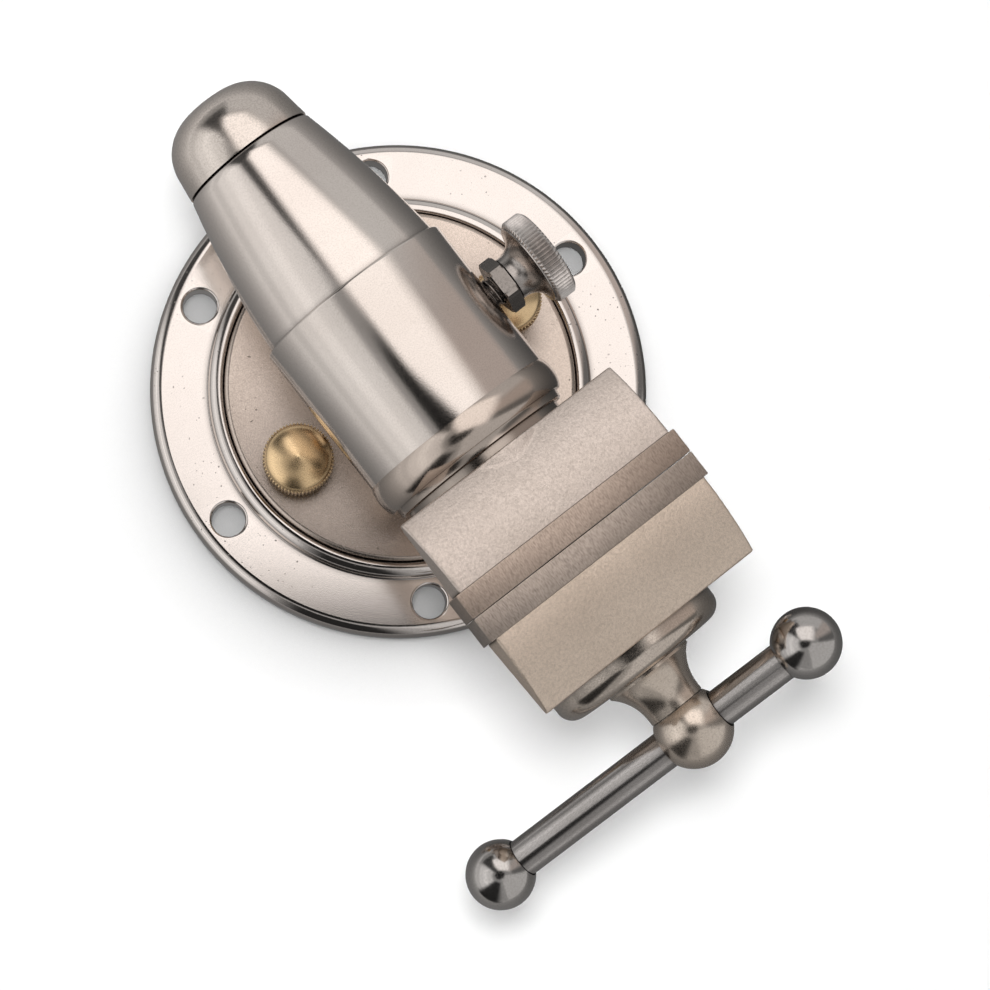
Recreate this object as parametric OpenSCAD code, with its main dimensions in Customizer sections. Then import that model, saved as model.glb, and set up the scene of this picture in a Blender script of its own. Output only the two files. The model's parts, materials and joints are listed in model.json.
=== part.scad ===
// Rotatable bench vise: a small bench vise on a swivelling round base.
// Origin at the middle of the base's underside, +Z up, jaws towards -Y.
// The spindle axis runs along Y at axis_h, and all the head is drawn about it.

/* [Base] */
// Diameter of the base flange
base_d = 100; // [96:0.5:104]
// Thickness of the base flange
flange_t = 6; // [5.6:0.1:6.6]
// Radius of the flange's rounded top edge
flange_round = 2.4; // [1:0.1:3]
// Diameter of the mounting hole circle as a share of the base's
hole_circle_share = 0.866; // [0.85:0.001:0.88]
// Diameter of each mounting hole
hole_d = 6.8; // [5:0.1:7.4]
// Number of mounting holes
hole_count = 6; // [3:1:8]
// Width of the lead-in chamfer on each mounting hole
hole_chamfer = 0.4; // [0.2:0.1:0.8]
// Width of the raised rim around the turntable
rim_w = 3.23; // [2.8:0.01:3.8]
// Height of the raised rim above the bench
rim_h = 9.8; // [9.2:0.1:10.2]
// Width of the ledge that carries the turntable's edge
ledge_w = 4.12; // [3.1:0.02:6]
// Thickness of that ledge
ledge_t = 2.3; // [2:0.1:2.5]
// Distance of the hollow's wall under the ledge from the turntable's edge
hollow_inset = 0.42; // [0.12:0.02:0.62]

/* [Turntable] */
// Diameter of the turntable disc as a share of the base's
turntable_share = 0.7024; // [0.698:0.0002:0.704]
// Height of the turntable's top face above the bench
turntable_top = 10.5; // [10:0.1:11]
// Radius of the disc's rounded top edge
turntable_round = 1; // [0.4:0.1:1.5]
// Distance of the hub under the disc from the clamp ring
hub_gap = 2; // [1:0.1:5]
// Height of the hub's underside above the bench
hub_base = 4.6; // [4.4:0.1:5]
// Thickness of the clamp ring under the ledge
clamp_t = 2.5; // [2:0.1:2.6]
// Inner diameter of the clamp ring as a share of the base's
clamp_inner_share = 0.44; // [0.43:0.005:0.46]
// Distance of the clamp ring from the hollow's wall
clamp_fit = 0.5; // [0.4:0.05:1.2]
// Gap between the clamp ring and the ledge when loose
clamp_gap = 0.3; // [0.2:0.05:0.4]

/* [Brass thumb screws] */
// Distance of each thumb screw from the swivel axis as a share of the base's diameter
thumb_share = 0.259; // [0.25:0.001:0.27]
// Diameter of a thumb screw's knurled head
thumb_head_d = 14; // [12:0.1:15]
// Height of the knurled band
thumb_band_h = 6.2; // [5:0.1:7]
// Height of the domed top above the band
thumb_dome_h = 3; // [2:0.1:3.5]
// Diameter of the plain shoulder under the head
thumb_shoulder_d = 9; // [7:0.1:10]
// Height of that shoulder
thumb_shoulder_h = 4.2; // [3:0.1:5]
// Thread diameter of a thumb screw
thumb_thread_d = 5; // [4:0.1:5.5]
// Diameter of the washer under the shoulder
thumb_washer_d = 11; // [10.5:0.1:12]
// Thickness of that washer
thumb_washer_t = 1; // [0.6:0.1:1.2]
// Number of knurl teeth around a thumb screw head
thumb_teeth = 60; // [40:1:72]
// Depth of the knurl teeth as a share of the head's radius
knurl_share = 0.045; // [0.03:0.005:0.06]

/* [Pedestal and bearing] */
// Height of the spindle axis above the bench
axis_h = 44; // [44:0.5:48]
// Outer diameter of the bearing barrel
barrel_d = 40.5; // [40:0.1:42]
// Length of the bearing barrel
barrel_len = 27; // [26:0.5:30]
// Distance of the barrel's middle behind the swivel axis
barrel_shift = 0.45; // [0:0.05:0.8]
// Width of the chamfers on the barrel's ends
barrel_chamfer = 0.5; // [0.2:0.1:1]
// Wall of the barrel around its bearing bore
barrel_wall = 4.25; // [4:0.05:4.5]
// Diameter of the pedestal's foot as a share of the base's
foot_share = 0.34; // [0.32:0.005:0.35]
// Height of the foot's plain edge
foot_edge = 1.4; // [1:0.1:2]
// Distance of the pedestal's waist inside the barrel's ends
waist_inset = 1; // [0.6:0.1:2]
// Diameter of the spigot under the pedestal as a share of the base's
spigot_share = 0.16; // [0.14:0.005:0.18]
// Thread diameter of the pedestal bolt
bolt_d = 8; // [6:0.5:8.5]
// Size across the flats of the bolt's hexagon head
bolt_flats = 13; // [12:0.5:14]
// Thickness of the bolt's head
bolt_head_t = 2.4; // [2:0.1:2.6]
// Length of the bolt's shank
bolt_len = 18; // [15:0.5:19]
// Diameter of the bolt's washer
bolt_washer_d = 18; // [17:0.5:20]
// Thickness of the bolt's washer
bolt_washer_t = 1; // [0.8:0.1:1.2]
// Diameter of the two locating pins
pin_d = 3; // [2.5:0.1:3.2]
// Length of a locating pin
pin_len = 7; // [6:0.5:8]
// Distance of each locating pin from the swivel axis as a share of the base's diameter
pin_share = 0.125; // [0.12:0.001:0.13]

/* [Head lock screw] */
// Distance of the lock screw from the swivel axis, towards the tail
lock_shift = 0.8; // [0:0.1:2]
// Thread diameter of the lock screw
lock_thread_d = 6; // [5:0.1:6.5]
// Diameter of the knurled head
lock_head_d = 18.5; // [16:0.1:20]
// Thickness of the knurled head
lock_head_t = 4.4; // [3.5:0.1:5]
// Distance from the barrel's side to the head's inner face
lock_reach = 9.65; // [9.25:0.05:10.5]
// Length of the flared neck under the head
lock_neck_len = 5; // [4.6:0.1:5.1]
// Diameter of the neck's narrow end
lock_neck_d = 9; // [8:0.1:10]
// Diameter of the neck's wide end
lock_flare_d = 16.8; // [14:0.1:16.8]
// Thickness of the plain rim at the neck's wide end
lock_flare_rim = 0.3; // [0.1:0.1:0.3]
// Width of the head's bevelled edges
lock_bevel = 0.7; // [0.4:0.1:1]
// Number of knurl teeth around the head
lock_teeth = 68; // [48:1:80]
// Size across the flats of the jam nut
jam_flats = 10; // [9:0.1:11]
// Thickness of the jam nut
jam_t = 2.9; // [2.4:0.1:3.1]
// Gap between the barrel and the jam nut when the screw is slack
jam_gap = 1.6; // [1.2:0.1:1.9]
// Diameter of the brass pad at the screw's tip
pad_d = 5.2; // [4:0.1:5.4]
// Length of the brass pad
pad_len = 2; // [1.5:0.1:2.2]

/* [Head] */
// Roll of the head about the spindle axis, as it stands
head_roll = 8; // [0:0.5:12]
// Height of the collar's crest above the barrel's side
collar_proud = 0.25; // [0:0.05:0.75]
// Length of the collar
collar_len = 9; // [8:0.1:9.4]
// Height of the collar's crest above its ends
collar_crest = 1.5; // [1:0.1:1.8]
// Depth of the groove between collar and jaw
groove_depth = 3; // [2:0.1:3.5]
// Length of that groove
groove_len = 1.6; // [1:0.1:2]
// Thickness of the thrust washer in front of the barrel
thrust_t = 0.85; // [0.8:0.05:1]
// Length of the head tube's thread behind the barrel
tube_thread_len = 12; // [10:0.5:13]
// Distance of the head tube's thread inside its bearing surface
thread_step = 1; // [0.8:0.05:1.2]
// Wall of the head tube, with its running fit
tube_wall = 3.5; // [3.3:0.05:3.7]
// Distance of the tail cone's front end inside the barrel's side
cone_inset = 0.75; // [0.25:0.05:1.25]
// Fall of the cone's side from its front to its rear end
cone_fall = 5.75; // [5:0.05:6.5]
// Length of the tail cone
cone_len = 34.8; // [34:0.1:37]
// Swell of the cone's side beyond a straight taper
cone_swell = 0.7; // [0.4:0.1:1]
// Wall at the tail cone's rear end
cone_wall = 5.25; // [4.75:0.05:6]
// Length of the nose cap
nose_len = 13.1; // [12:0.1:14]
// Radius of the nose cap's rounded edge
nose_round = 9.2; // [8:0.1:10.5]
// Taper of the nose cap's side, in degrees
nose_taper = 8; // [4:0.5:10]
// Length of the nose cap's spigot
nose_spigot_len = 6; // [4:0.5:8]
// Wall of the nose cap
nose_wall = 3; // [2.5:0.1:3.5]
// Wall of the head tube's thread around the lead nut
nut_inset = 1; // [0.9:0.05:1.25]

/* [Jaws] */
// Width of each jaw
jaw_w = 50; // [46:0.5:51]
// Length of each jaw along the spindle axis
jaw_len = 16.4; // [15.5:0.1:18]
// Height of the jaw above the spindle axis at its plate
jaw_top = 23.1; // [22:0.1:23.6]
// Fall of the arched top from the plate to the jaw's outer edge
jaw_fall = 4; // [3:0.1:5]
// Distance of the moving jaw's round body inside the fixed jaw's
moving_inset = 2; // [1.2:0.1:2.5]
// Width of the wall above a jaw's round body as a share of its diameter
core_width_share = 0.94; // [0.9:0.01:0.96]
// Height of the jaw's side at its outer edge
side_edge = 1.2; // [0.8:0.1:2]
// Width of a jaw plate
plate_w = 52; // [50:0.5:52.4]
// Height of a jaw plate
plate_h = 8; // [7.5:0.1:9]
// Thickness of a jaw plate
plate_t = 5.2; // [4.5:0.1:5.5]
// Gap between the closed jaw plates
jaw_gap = 0.1; // [0.05:0.01:0.2]
// Height by which the plates stand proud of the jaws
plate_proud = 0.15; // [0.05:0.05:0.3]
// Setback of the jaw bodies under the plates
step_back = 0.6; // [0.4:0.1:1]
// Distance of each plate screw from the jaw's middle
plate_screw_x = 16; // [14:0.5:19]
// Thread diameter of a plate screw
plate_screw_d = 3.4; // [3:0.1:3.5]
// Head diameter of a plate screw
plate_screw_head = 6; // [5.5:0.1:6.4]
// Length of a plate screw
plate_screw_len = 11.5; // [10:0.5:12]
// Width of the slot in a screw's head
slot_w = 0.9; // [0.7:0.1:1.2]
// Depth of the slot in a screw's head
slot_depth = 0.8; // [0.5:0.1:1]
// Length of the round boss in front of the moving jaw
boss_len = 5.3; // [4.5:0.1:6]
// Radius of the boss's rounded edge
boss_round = 3.4; // [2.5:0.1:4]
// Travel of the moving jaw
jaw_travel = 36; // [30:1:36]
// Diameter of the guide screw that keeps the jaws in line
guide_d = 4; // [3.5:0.1:4.4]
// Distance from the fixed jaw's outer edge to the guide screw
guide_from_edge = 8; // [7:0.1:9]

/* [Spindle and handle] */
// Wall of the slide tube, with its running fit
slide_wall = 2.5; // [2:0.05:3]
// Length of the slide tube inside the moving jaw
slide_socket = 14; // [12:0.5:14.5]
// Diameter of the spindle as a share of the slide tube's bore
spindle_share = 0.5; // [0.45:0.01:0.52]
// Diameter of the spindle's flared shoulder
flare_d = 18.2; // [17:0.1:20]
// Thickness of the shoulder's plain rim
flare_rim = 0.8; // [0.6:0.1:1.2]
// Diameter of the neck behind the ball
neck_d = 11.7; // [10.5:0.1:12.5]
// Distance from the shoulder to the neck's narrowest place
neck_from = 8; // [7:0.1:8.6]
// Diameter of the spindle's ball
ball_d = 15.3; // [14.6:0.1:16.5]
// Distance from the shoulder's face to the ball's centre
ball_from = 14.45; // [14:0.05:15.5]
// Distance of the collar that keeps the spindle in the jaw from the slide tube
keeper_gap = 1.5; // [1:0.1:2.5]
// Length of that collar
keeper_len = 5; // [4:0.1:6]
// Thickness of the washer between collar and jaw
keeper_washer_t = 0.9; // [0.6:0.1:1]
// Diameter of the cross pin through the collar
cross_pin_d = 2.5; // [2:0.1:3]
// Diameter of the handle bar
bar_d = 7.5; // [7:0.1:8]
// Distance between the centres of the handle's balls
bar_span = 74.6; // [60:0.2:90]
// Distance from the spindle axis to the nearer ball, as it stands
bar_short = 27; // [20:0.1:30]
// Diameter of each ball on the handle
knob_d = 13.6; // [12:0.1:15]
// Tilt of the handle as it stands, right end up
bar_tilt = 19.6; // [0:0.2:30]
// Width of the countersink around the handle's hole
eye_chamfer = 0.45; // [0.3:0.05:0.6]

/* [Fits] */
// Radial clearance of the turning and sliding fits
run_fit = 0.05; // [0.03:0.01:0.08]
// Clearance around pieces that are fixed together
fixed_fit = 0.02; // [0.01:0.01:0.03]
// Gap between flat faces that move past each other
face_gap = 0.05; // [0.04:0.01:0.08]
// Clearance of the handle bar in the spindle
bar_fit = 0.1; // [0.08:0.01:0.1]
// Visible gap between the barrel and the tail cone
seam_gap = 0.2; // [0.1:0.05:0.3]

/* [Hidden] */
$fn = 96;

base_r = base_d / 2;
hole_circle_d = base_d * hole_circle_share;
turntable_d = base_d * turntable_share;
ledge_d = turntable_d - 2 * ledge_w;
hollow_d = turntable_d - 2 * hollow_inset;
clamp_outer_d = hollow_d - 2 * clamp_fit;
clamp_inner_d = base_d * clamp_inner_share;
hub_d = clamp_inner_d - 2 * hub_gap;
thumb_offset = base_d * thumb_share;
foot_d = base_d * foot_share;
spigot_d = base_d * spigot_share;
pin_offset = base_d * pin_share;
seat_r = turntable_d / 2 + run_fit;
rim_r = seat_r + rim_w;
rim_round = (rim_r - seat_r) / 2;
ledge_top = flange_t;
ledge_bottom = ledge_top - ledge_t;
disc_bottom = ledge_top + face_gap;
clamp_top = ledge_bottom - clamp_gap;
thumb_base = turntable_top + thumb_washer_t;
thumb_shank_len = thumb_base - (clamp_top - clamp_t);

barrel_r = barrel_d / 2;
barrel_front = barrel_len / 2 - barrel_shift;
barrel_rear = barrel_len / 2 + barrel_shift;
waist_d = barrel_len - 2 * waist_inset;
bearing_d = barrel_d - 2 * barrel_wall;
tube_thread_d = bearing_d - 2 * thread_step;
tube_bore_d = bearing_d - 2 * tube_wall;
nut_d = tube_thread_d - 2 * nut_inset;
slide_bore_d = tube_bore_d - 2 * slide_wall;
spindle_d = slide_bore_d * spindle_share;
keeper_d = slide_bore_d - 2 * keeper_gap;
collar_d = barrel_d + 2 * collar_proud;
groove_d = collar_d - 2 * groove_depth;
fixed_core_d = collar_d;
moving_core_d = fixed_core_d - 2 * moving_inset;
cone_front_d = barrel_d - 2 * cone_inset;
cone_rear_d = cone_front_d - 2 * cone_fall;
cone_bore_d = cone_rear_d - 2 * cone_wall;
bolt_washer_bottom = hub_base - bolt_washer_t;
waist_r = waist_d / 2;
waist_round = foot_d / 2 - waist_r;
pin_bottom = turntable_top - pin_len / 2;

collar_front = barrel_front + thrust_t + 2 * face_gap;
jaw_outer = collar_front + collar_len + groove_len;
plate_seat = jaw_outer + jaw_len;
jaw_mid = plate_seat + plate_t + jaw_gap / 2;
wing_bottom = jaw_top - plate_h + plate_proud;
arch_r = (jaw_len * jaw_len + jaw_fall * jaw_fall) / (2 * jaw_fall);
moving_outer = 2 * jaw_mid - jaw_outer;
boss_face = moving_outer + boss_len;
flare_face = boss_face + face_gap;
web_back = moving_outer - (jaw_len - slide_socket) + face_gap;
slide_d = tube_bore_d - 2 * run_fit;
tube_d = bearing_d - 2 * run_fit;
cone_start = barrel_rear + seam_gap;
tube_end = barrel_rear + tube_thread_len;
nut_start = barrel_rear - face_gap;
slide_end = nut_start - step_back;
cone_end = cone_start + cone_len;
nose_start = cone_end + seam_gap;
nose_end = nose_start + nose_len;
spindle_end = nose_end - nose_wall - step_back;
guide_y = jaw_outer + guide_from_edge;
guide_tip = slide_bore_d / 2 + step_back;
guide_slot = guide_d + 4 * run_fit;
keeper_front = web_back - keeper_washer_t - 2 * face_gap;
ball_y = flare_face + ball_from;

lock_head_from = barrel_r + lock_reach;
lock_tip = bearing_d / 2 + pad_len + face_gap;
jam_from = barrel_r + jam_gap;

nickel = [0.80, 0.76, 0.72];
polished = [0.86, 0.83, 0.80];
steel = [0.58, 0.57, 0.56];
brass = [0.80, 0.63, 0.32];

// Places a child drawn about the spindle axis in the rolled head
module on_head() {
    translate([0, 0, axis_h]) rotate([0, head_roll, 0]) children();
}

// Turns a 2D outline of radius and distance towards +Y about the spindle axis
module turned() {
    rotate([-90, 0, 0]) rotate_extrude() children();
}

// A rod along Y between two places
module rod_y(d, from, to) {
    translate([0, from, 0]) rotate([-90, 0, 0]) cylinder(d = d, h = to - from);
}

// A rod along Z between two heights
module rod_z(d, from, to) {
    translate([0, 0, from]) cylinder(d = d, h = to - from);
}

// A rod along X between two places
module rod_x(d, from, to) {
    translate([from, 0, 0]) rotate([0, 90, 0]) cylinder(d = d, h = to - from);
}

// A flat outline whose upper right corner is rounded
module rounded_right(x0, x1, y0, y1, r) {
    translate([x0, y0]) square([x1 - x0 - r, y1 - y0]);
    translate([x0, y0]) square([x1 - x0, y1 - y0 - r]);
    translate([x1 - r, y1 - r]) circle(r = r);
}

// Outline of a ring with chamfered ends, for the barrel
module chamfered(r, y0, y1, c) {
    polygon([[0, y0], [r - c, y0], [r, y0 + c], [r, y1 - c], [r - c, y1], [0, y1]]);
}

// The same outline with its plain side moved out, so that it only bevels what it is cut from
module bevelled(r, y0, y1, c) {
    chamfered(r + step_back, y0, y1, c + step_back);
}

// Points of a toothed circle
function toothed(r, teeth) = [
    for (i = [0:2 * teeth - 1])
        let(a = 180 * i / teeth, q = r - (i % 2) * r * knurl_share)
            [q * cos(a), q * sin(a)]
];

module base_ring() {
    color(nickel) difference() {
        rotate_extrude() {
            rounded_right(hollow_d / 2, base_r, 0, flange_t, flange_round);
            translate([seat_r, 0]) square([2 * rim_round, rim_h - rim_round]);
            translate([seat_r + rim_round, rim_h - rim_round]) circle(r = rim_round);
            translate([ledge_d / 2, ledge_bottom]) square([rim_r - ledge_d / 2, ledge_t]);
        }
        for (i = [0:hole_count - 1])
            rotate(360 * i / hole_count) translate([hole_circle_d / 2, 0, 0]) {
            rod_z(hole_d, -flange_t, 2 * flange_t);
            translate([0, 0, flange_t - hole_chamfer])
                cylinder(d1 = hole_d, d2 = hole_d + 4 * hole_chamfer, h = 2 * hole_chamfer);
        }
    }
}

module turntable() {
    color(nickel) difference() {
        union() {
            rotate_extrude()
                rounded_right(0, turntable_d / 2, disc_bottom, turntable_top, turntable_round);
            rod_z(hub_d, hub_base, turntable_top - turntable_round);
        }
        rod_z(spigot_d + 2 * fixed_fit, 0, turntable_top * 2);
        for (side = [-1, 1]) {
            translate([side * thumb_offset, 0, 0])
                rod_z(thumb_thread_d + 4 * run_fit, 0, turntable_top * 2);
            translate([0, side * pin_offset, 0])
                rod_z(pin_d + 2 * fixed_fit, pin_bottom, turntable_top * 2);
        }
    }
}

module clamp_ring() {
    color(steel) difference() {
        rod_z(clamp_outer_d, clamp_top - clamp_t, clamp_top);
        rod_z(clamp_inner_d, 0, turntable_top);
        for (side = [-1, 1]) translate([side * thumb_offset, 0, 0])
            rod_z(thumb_thread_d + 2 * run_fit, 0, turntable_top);
    }
}

// Thumb screw with a knurled, domed head, its shoulder standing on a washer
module thumb_screw(side) {
    head_from = thumb_base + thumb_shoulder_h;
    head_top = head_from + thumb_band_h + thumb_dome_h;
    head_r = thumb_head_d / 2;
    dome_r = (head_r * head_r + thumb_dome_h * thumb_dome_h) / (2 * thumb_dome_h);
    color(brass) translate([side * thumb_offset, 0, 0]) {
        rod_z(thumb_thread_d, clamp_top - clamp_t, thumb_base);
        rod_z(thumb_shoulder_d, thumb_base, head_from);
        intersection() {
            translate([0, 0, head_from]) linear_extrude(head_top - head_from)
                polygon(toothed(head_r, thumb_teeth));
            translate([0, 0, head_top - dome_r]) sphere(r = dome_r);
        }
    }
}

module thumb_screw_left() {
    thumb_screw(-1);
}

module thumb_screw_right() {
    thumb_screw(1);
}

module thumb_washers() {
    color(brass) for (side = [-1, 1]) translate([side * thumb_offset, 0, 0]) difference() {
        rod_z(thumb_washer_d, turntable_top, thumb_base);
        rod_z(thumb_thread_d + 4 * run_fit, 0, 2 * turntable_top);
    }
}

module bearing_barrel() {
    color(nickel) difference() {
        union() {
            translate([0, 0, axis_h]) turned()
                chamfered(barrel_r, -barrel_front, barrel_rear, barrel_chamfer);
            rotate_extrude() difference() {
                union() {
                    translate([0, turntable_top]) square([waist_r, axis_h - turntable_top]);
                    translate([0, turntable_top]) square([foot_d / 2, foot_edge + waist_round]);
                }
                translate([waist_r + waist_round, turntable_top + foot_edge + waist_round])
                    circle(r = waist_round);
            }
            rod_z(spigot_d, hub_base, turntable_top + foot_edge);
        }
        translate([0, 0, axis_h]) rod_y(bearing_d, -barrel_len, barrel_len);
        rod_z(bolt_d + 2 * fixed_fit, 0, hub_base + bolt_len);
        for (side = [-1, 1]) translate([0, side * pin_offset, 0])
            rod_z(pin_d + 2 * fixed_fit, 0, pin_bottom + pin_len);
        translate([0, lock_shift, axis_h]) rod_x(lock_thread_d + 2 * run_fit, waist_r, barrel_d);
    }
}

module pedestal_bolt() {
    color(steel) {
        rod_z(bolt_d, bolt_washer_bottom, bolt_washer_bottom + bolt_len);
        translate([0, 0, bolt_washer_bottom - bolt_head_t])
            cylinder(d = bolt_flats / cos(30), h = bolt_head_t, $fn = 6);
    }
}

module bolt_washer() {
    color(steel) difference() {
        rod_z(bolt_washer_d, bolt_washer_bottom, hub_base);
        rod_z(bolt_d + 4 * run_fit, 0, turntable_top);
    }
}

module locating_pins() {
    color(steel) for (side = [-1, 1]) translate([0, side * pin_offset, 0])
        rod_z(pin_d, pin_bottom, pin_bottom + pin_len);
}

// Outline of the lock screw from its tip outwards, as radius and distance
module lock_outline() {
    neck_from_axis = lock_head_from - lock_neck_len;
    neck_drop = (lock_flare_d - lock_neck_d) / 2;
    translate([0, lock_tip]) square([lock_thread_d / 2, lock_head_from - lock_tip]);
    difference() {
        translate([0, neck_from_axis]) square([lock_flare_d / 2, lock_neck_len]);
        translate([lock_neck_d / 2 + neck_drop, lock_head_from - lock_flare_rim - neck_drop])
            circle(r = neck_drop);
        translate([lock_neck_d / 2, neck_from_axis])
            square([neck_drop * 2, lock_neck_len - lock_flare_rim - neck_drop]);
    }
}

module lock_screw() {
    head_r = lock_head_d / 2;
    color(steel) translate([0, lock_shift, axis_h]) rotate([0, 90, 0]) {
        rotate_extrude() lock_outline();
        intersection() {
            translate([0, 0, lock_head_from]) linear_extrude(lock_head_t)
                polygon(toothed(head_r, lock_teeth));
            rotate_extrude()
                bevelled(head_r, lock_head_from, lock_head_from + lock_head_t, lock_bevel);
        }
    }
}

module jam_nut() {
    color(steel) translate([jam_from, lock_shift, axis_h]) rotate([0, 90, 0]) difference() {
        intersection() {
            cylinder(d = jam_flats / cos(30), h = jam_t, $fn = 6);
            rotate_extrude() bevelled(jam_flats / cos(30) / 2, 0, jam_t, lock_bevel / 2);
        }
        rod_z(lock_thread_d + 2 * run_fit, -jam_t, 2 * jam_t);
    }
}

module lock_pad() {
    pad_from = bearing_d / 2 + face_gap;
    color(brass) translate([0, lock_shift, axis_h])
        rod_x(pad_d, pad_from, pad_from + pad_len - face_gap);
}

// Side view of a jaw behind its plate: an arched top over a line from floor0 to floor1
module jaw_side(floor0, floor1) {
    intersection() {
        translate([0, jaw_top - arch_r]) circle(r = arch_r, $fn = 180);
        polygon([[0, floor0], [jaw_len, floor1], [jaw_len, jaw_top * 2], [0, jaw_top * 2]]);
    }
}

// Extrudes a side view of distance and height across the jaw's width
module across(w) {
    translate([-w / 2, 0, 0]) rotate([90, 0, 90]) linear_extrude(w) children();
}

// Thin cross section of a jaw's flanks, from the round body up to the side's lower edge
module jaw_section(core_w, side_z) {
    rotate([90, 0, 180]) linear_extrude(face_gap)
        polygon([[-jaw_w / 2, side_z], [jaw_w / 2, side_z], [core_w / 2, 0], [-core_w / 2, 0]]);
}

// A jaw with its plate seat in the plane y = 0 and its body towards +Y
module jaw_half(core_d) {
    edge_top = jaw_top - jaw_fall;
    core_w = core_d * core_width_share;
    across(jaw_w) jaw_side(wing_bottom, edge_top - side_edge);
    across(core_w) jaw_side(0, 0);
    hull() {
        jaw_section(core_w, wing_bottom);
        translate([0, jaw_len - face_gap, 0]) jaw_section(core_w, edge_top - side_edge);
    }
    rod_y(core_d, 0, jaw_len);
    difference() {
        union() {
            rod_y(core_d, step_back - plate_t, jaw_len / 2);
            translate([-core_w / 2, step_back - plate_t, 0])
                cube([core_w, plate_t - step_back + jaw_len / 2, wing_bottom]);
        }
        translate([-jaw_w / 2, -plate_t, wing_bottom - face_gap])
            cube([jaw_w, plate_t, jaw_top]);
    }
}

// Screw holes of a plate, drilled towards +Y from the plate's face
module plate_holes(clearance) {
    sink = clearance + face_gap;
    for (side = [-1, 1]) translate([side * plate_screw_x, 0, wing_bottom + plate_h / 2]) {
        rod_y(plate_screw_d + 2 * clearance, -plate_t, plate_screw_len - plate_t + step_back);
        translate([0, -plate_t, 0]) rotate([-90, 0, 0])
            cylinder(d1 = plate_screw_head + 2 * sink, d2 = plate_screw_d + 2 * sink,
                h = (plate_screw_head - plate_screw_d) / 2);
    }
}

module jaw_plate() {
    color(steel) difference() {
        translate([-plate_w / 2, -plate_t, wing_bottom]) cube([plate_w, plate_t, plate_h]);
        plate_holes(fixed_fit);
    }
}

// The two countersunk screws of a plate, their heads just below its face
module plate_screws() {
    taper = (plate_screw_head - plate_screw_d) / 2;
    head_z = wing_bottom + plate_h / 2;
    color(steel) for (side = [-1, 1]) translate([side * plate_screw_x, face_gap - plate_t, head_z])
        difference() {
            union() {
                rod_y(plate_screw_d, 0, plate_screw_len);
                rotate([-90, 0, 0]) cylinder(d1 = plate_screw_head, d2 = plate_screw_d, h = taper);
            }
            translate([-plate_screw_head, -slot_depth, -slot_w / 2])
                cube([2 * plate_screw_head, 2 * slot_depth, slot_w]);
        }
}

// Places what is drawn with its plate seat at y = 0 as the fixed jaw
module as_fixed() {
    on_head() translate([0, -plate_seat, 0]) children();
}

// The same for the moving jaw, turned end for end
module as_moving() {
    on_head() translate([0, plate_seat - 2 * jaw_mid, 0]) rotate([0, 0, 180]) children();
}

// Outline of the head's collar and tube behind the fixed jaw
module head_outline() {
    collar_mid = collar_front + collar_len / 2;
    crest_r = (collar_len * collar_len / 4 + collar_crest * collar_crest) / (2 * collar_crest);
    translate([0, -jaw_outer - groove_len]) square([groove_d / 2, 2 * groove_len]);
    translate([0, -collar_front - collar_len]) square([collar_d / 2 - collar_crest, collar_len]);
    intersection() {
        translate([collar_d / 2 - crest_r, -collar_mid]) circle(r = crest_r);
        translate([0, -collar_front - collar_len]) square([collar_d, collar_len]);
    }
    translate([0, -collar_front]) square([tube_d / 2, collar_front + barrel_rear - seam_gap]);
    translate([0, -collar_front]) square([tube_thread_d / 2, collar_front + tube_end]);
}

module fixed_jaw() {
    color(nickel) difference() {
        union() {
            as_fixed() jaw_half(fixed_core_d);
            on_head() turned() head_outline();
        }
        on_head() rod_y(tube_bore_d, -2 * jaw_mid, nut_start);
        on_head() rod_y(nut_d + 2 * fixed_fit, nut_start, 2 * tube_end);
        as_fixed() plate_holes(fixed_fit);
        on_head() translate([0, -guide_y, 0]) rod_z(guide_d + 2 * fixed_fit, -fixed_core_d, 0);
    }
}

module fixed_plate() {
    as_fixed() jaw_plate();
}

module fixed_plate_screws() {
    as_fixed() plate_screws();
}

module guide_screw() {
    foot = -fixed_core_d / 2 + step_back;
    color(steel) on_head() translate([0, -guide_y, 0]) difference() {
        rod_z(guide_d, foot, -guide_tip);
        translate([-guide_d, -slot_w / 2, foot - slot_depth]) cube([2 * guide_d, slot_w, 2 * slot_depth]);
    }
}

module thrust_washer() {
    color(steel) on_head() difference() {
        rod_y(barrel_d - barrel_chamfer, -barrel_front - face_gap - thrust_t, -barrel_front - face_gap);
        rod_y(tube_d + 4 * run_fit, -barrel_len, 0);
    }
}

// Outline of the tail cone, its side an arc that swells past a straight taper
module cone_outline() {
    r0 = cone_front_d / 2;
    r1 = cone_rear_d / 2;
    chord = norm([r1 - r0, cone_len]);
    swell_r = (chord * chord / 4 + cone_swell * cone_swell) / (2 * cone_swell);
    out = [cone_len, r0 - r1] / chord;
    centre = [(r0 + r1) / 2, cone_start + cone_len / 2] - out * (swell_r - cone_swell);
    intersection() {
        translate(centre) circle(r = swell_r, $fn = 360);
        translate([0, cone_start]) square([cone_front_d, cone_len]);
    }
}

module tail_cone() {
    color(nickel) on_head() difference() {
        turned() cone_outline();
        rod_y(tube_thread_d + 2 * fixed_fit, 0, tube_end + step_back);
        rod_y(cone_bore_d, 0, 2 * cone_end);
    }
}

// Outline of the nose cap: a tapered side that runs into the round of its flat end
module nose_outline() {
    r0 = cone_rear_d / 2;
    side = [cos(nose_taper), sin(nose_taper)];
    round_y = nose_end - nose_round;
    round_r = (side * [r0, nose_start] - nose_round - side[1] * round_y) / side[0];
    touch = [round_r, round_y] + nose_round * side;
    polygon([[0, nose_start], [r0, nose_start], touch, [round_r, nose_end], [0, nose_end]]);
    intersection() {
        translate([round_r, round_y]) circle(r = nose_round);
        translate([0, nose_start]) square([r0, nose_len]);
    }
}

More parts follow.
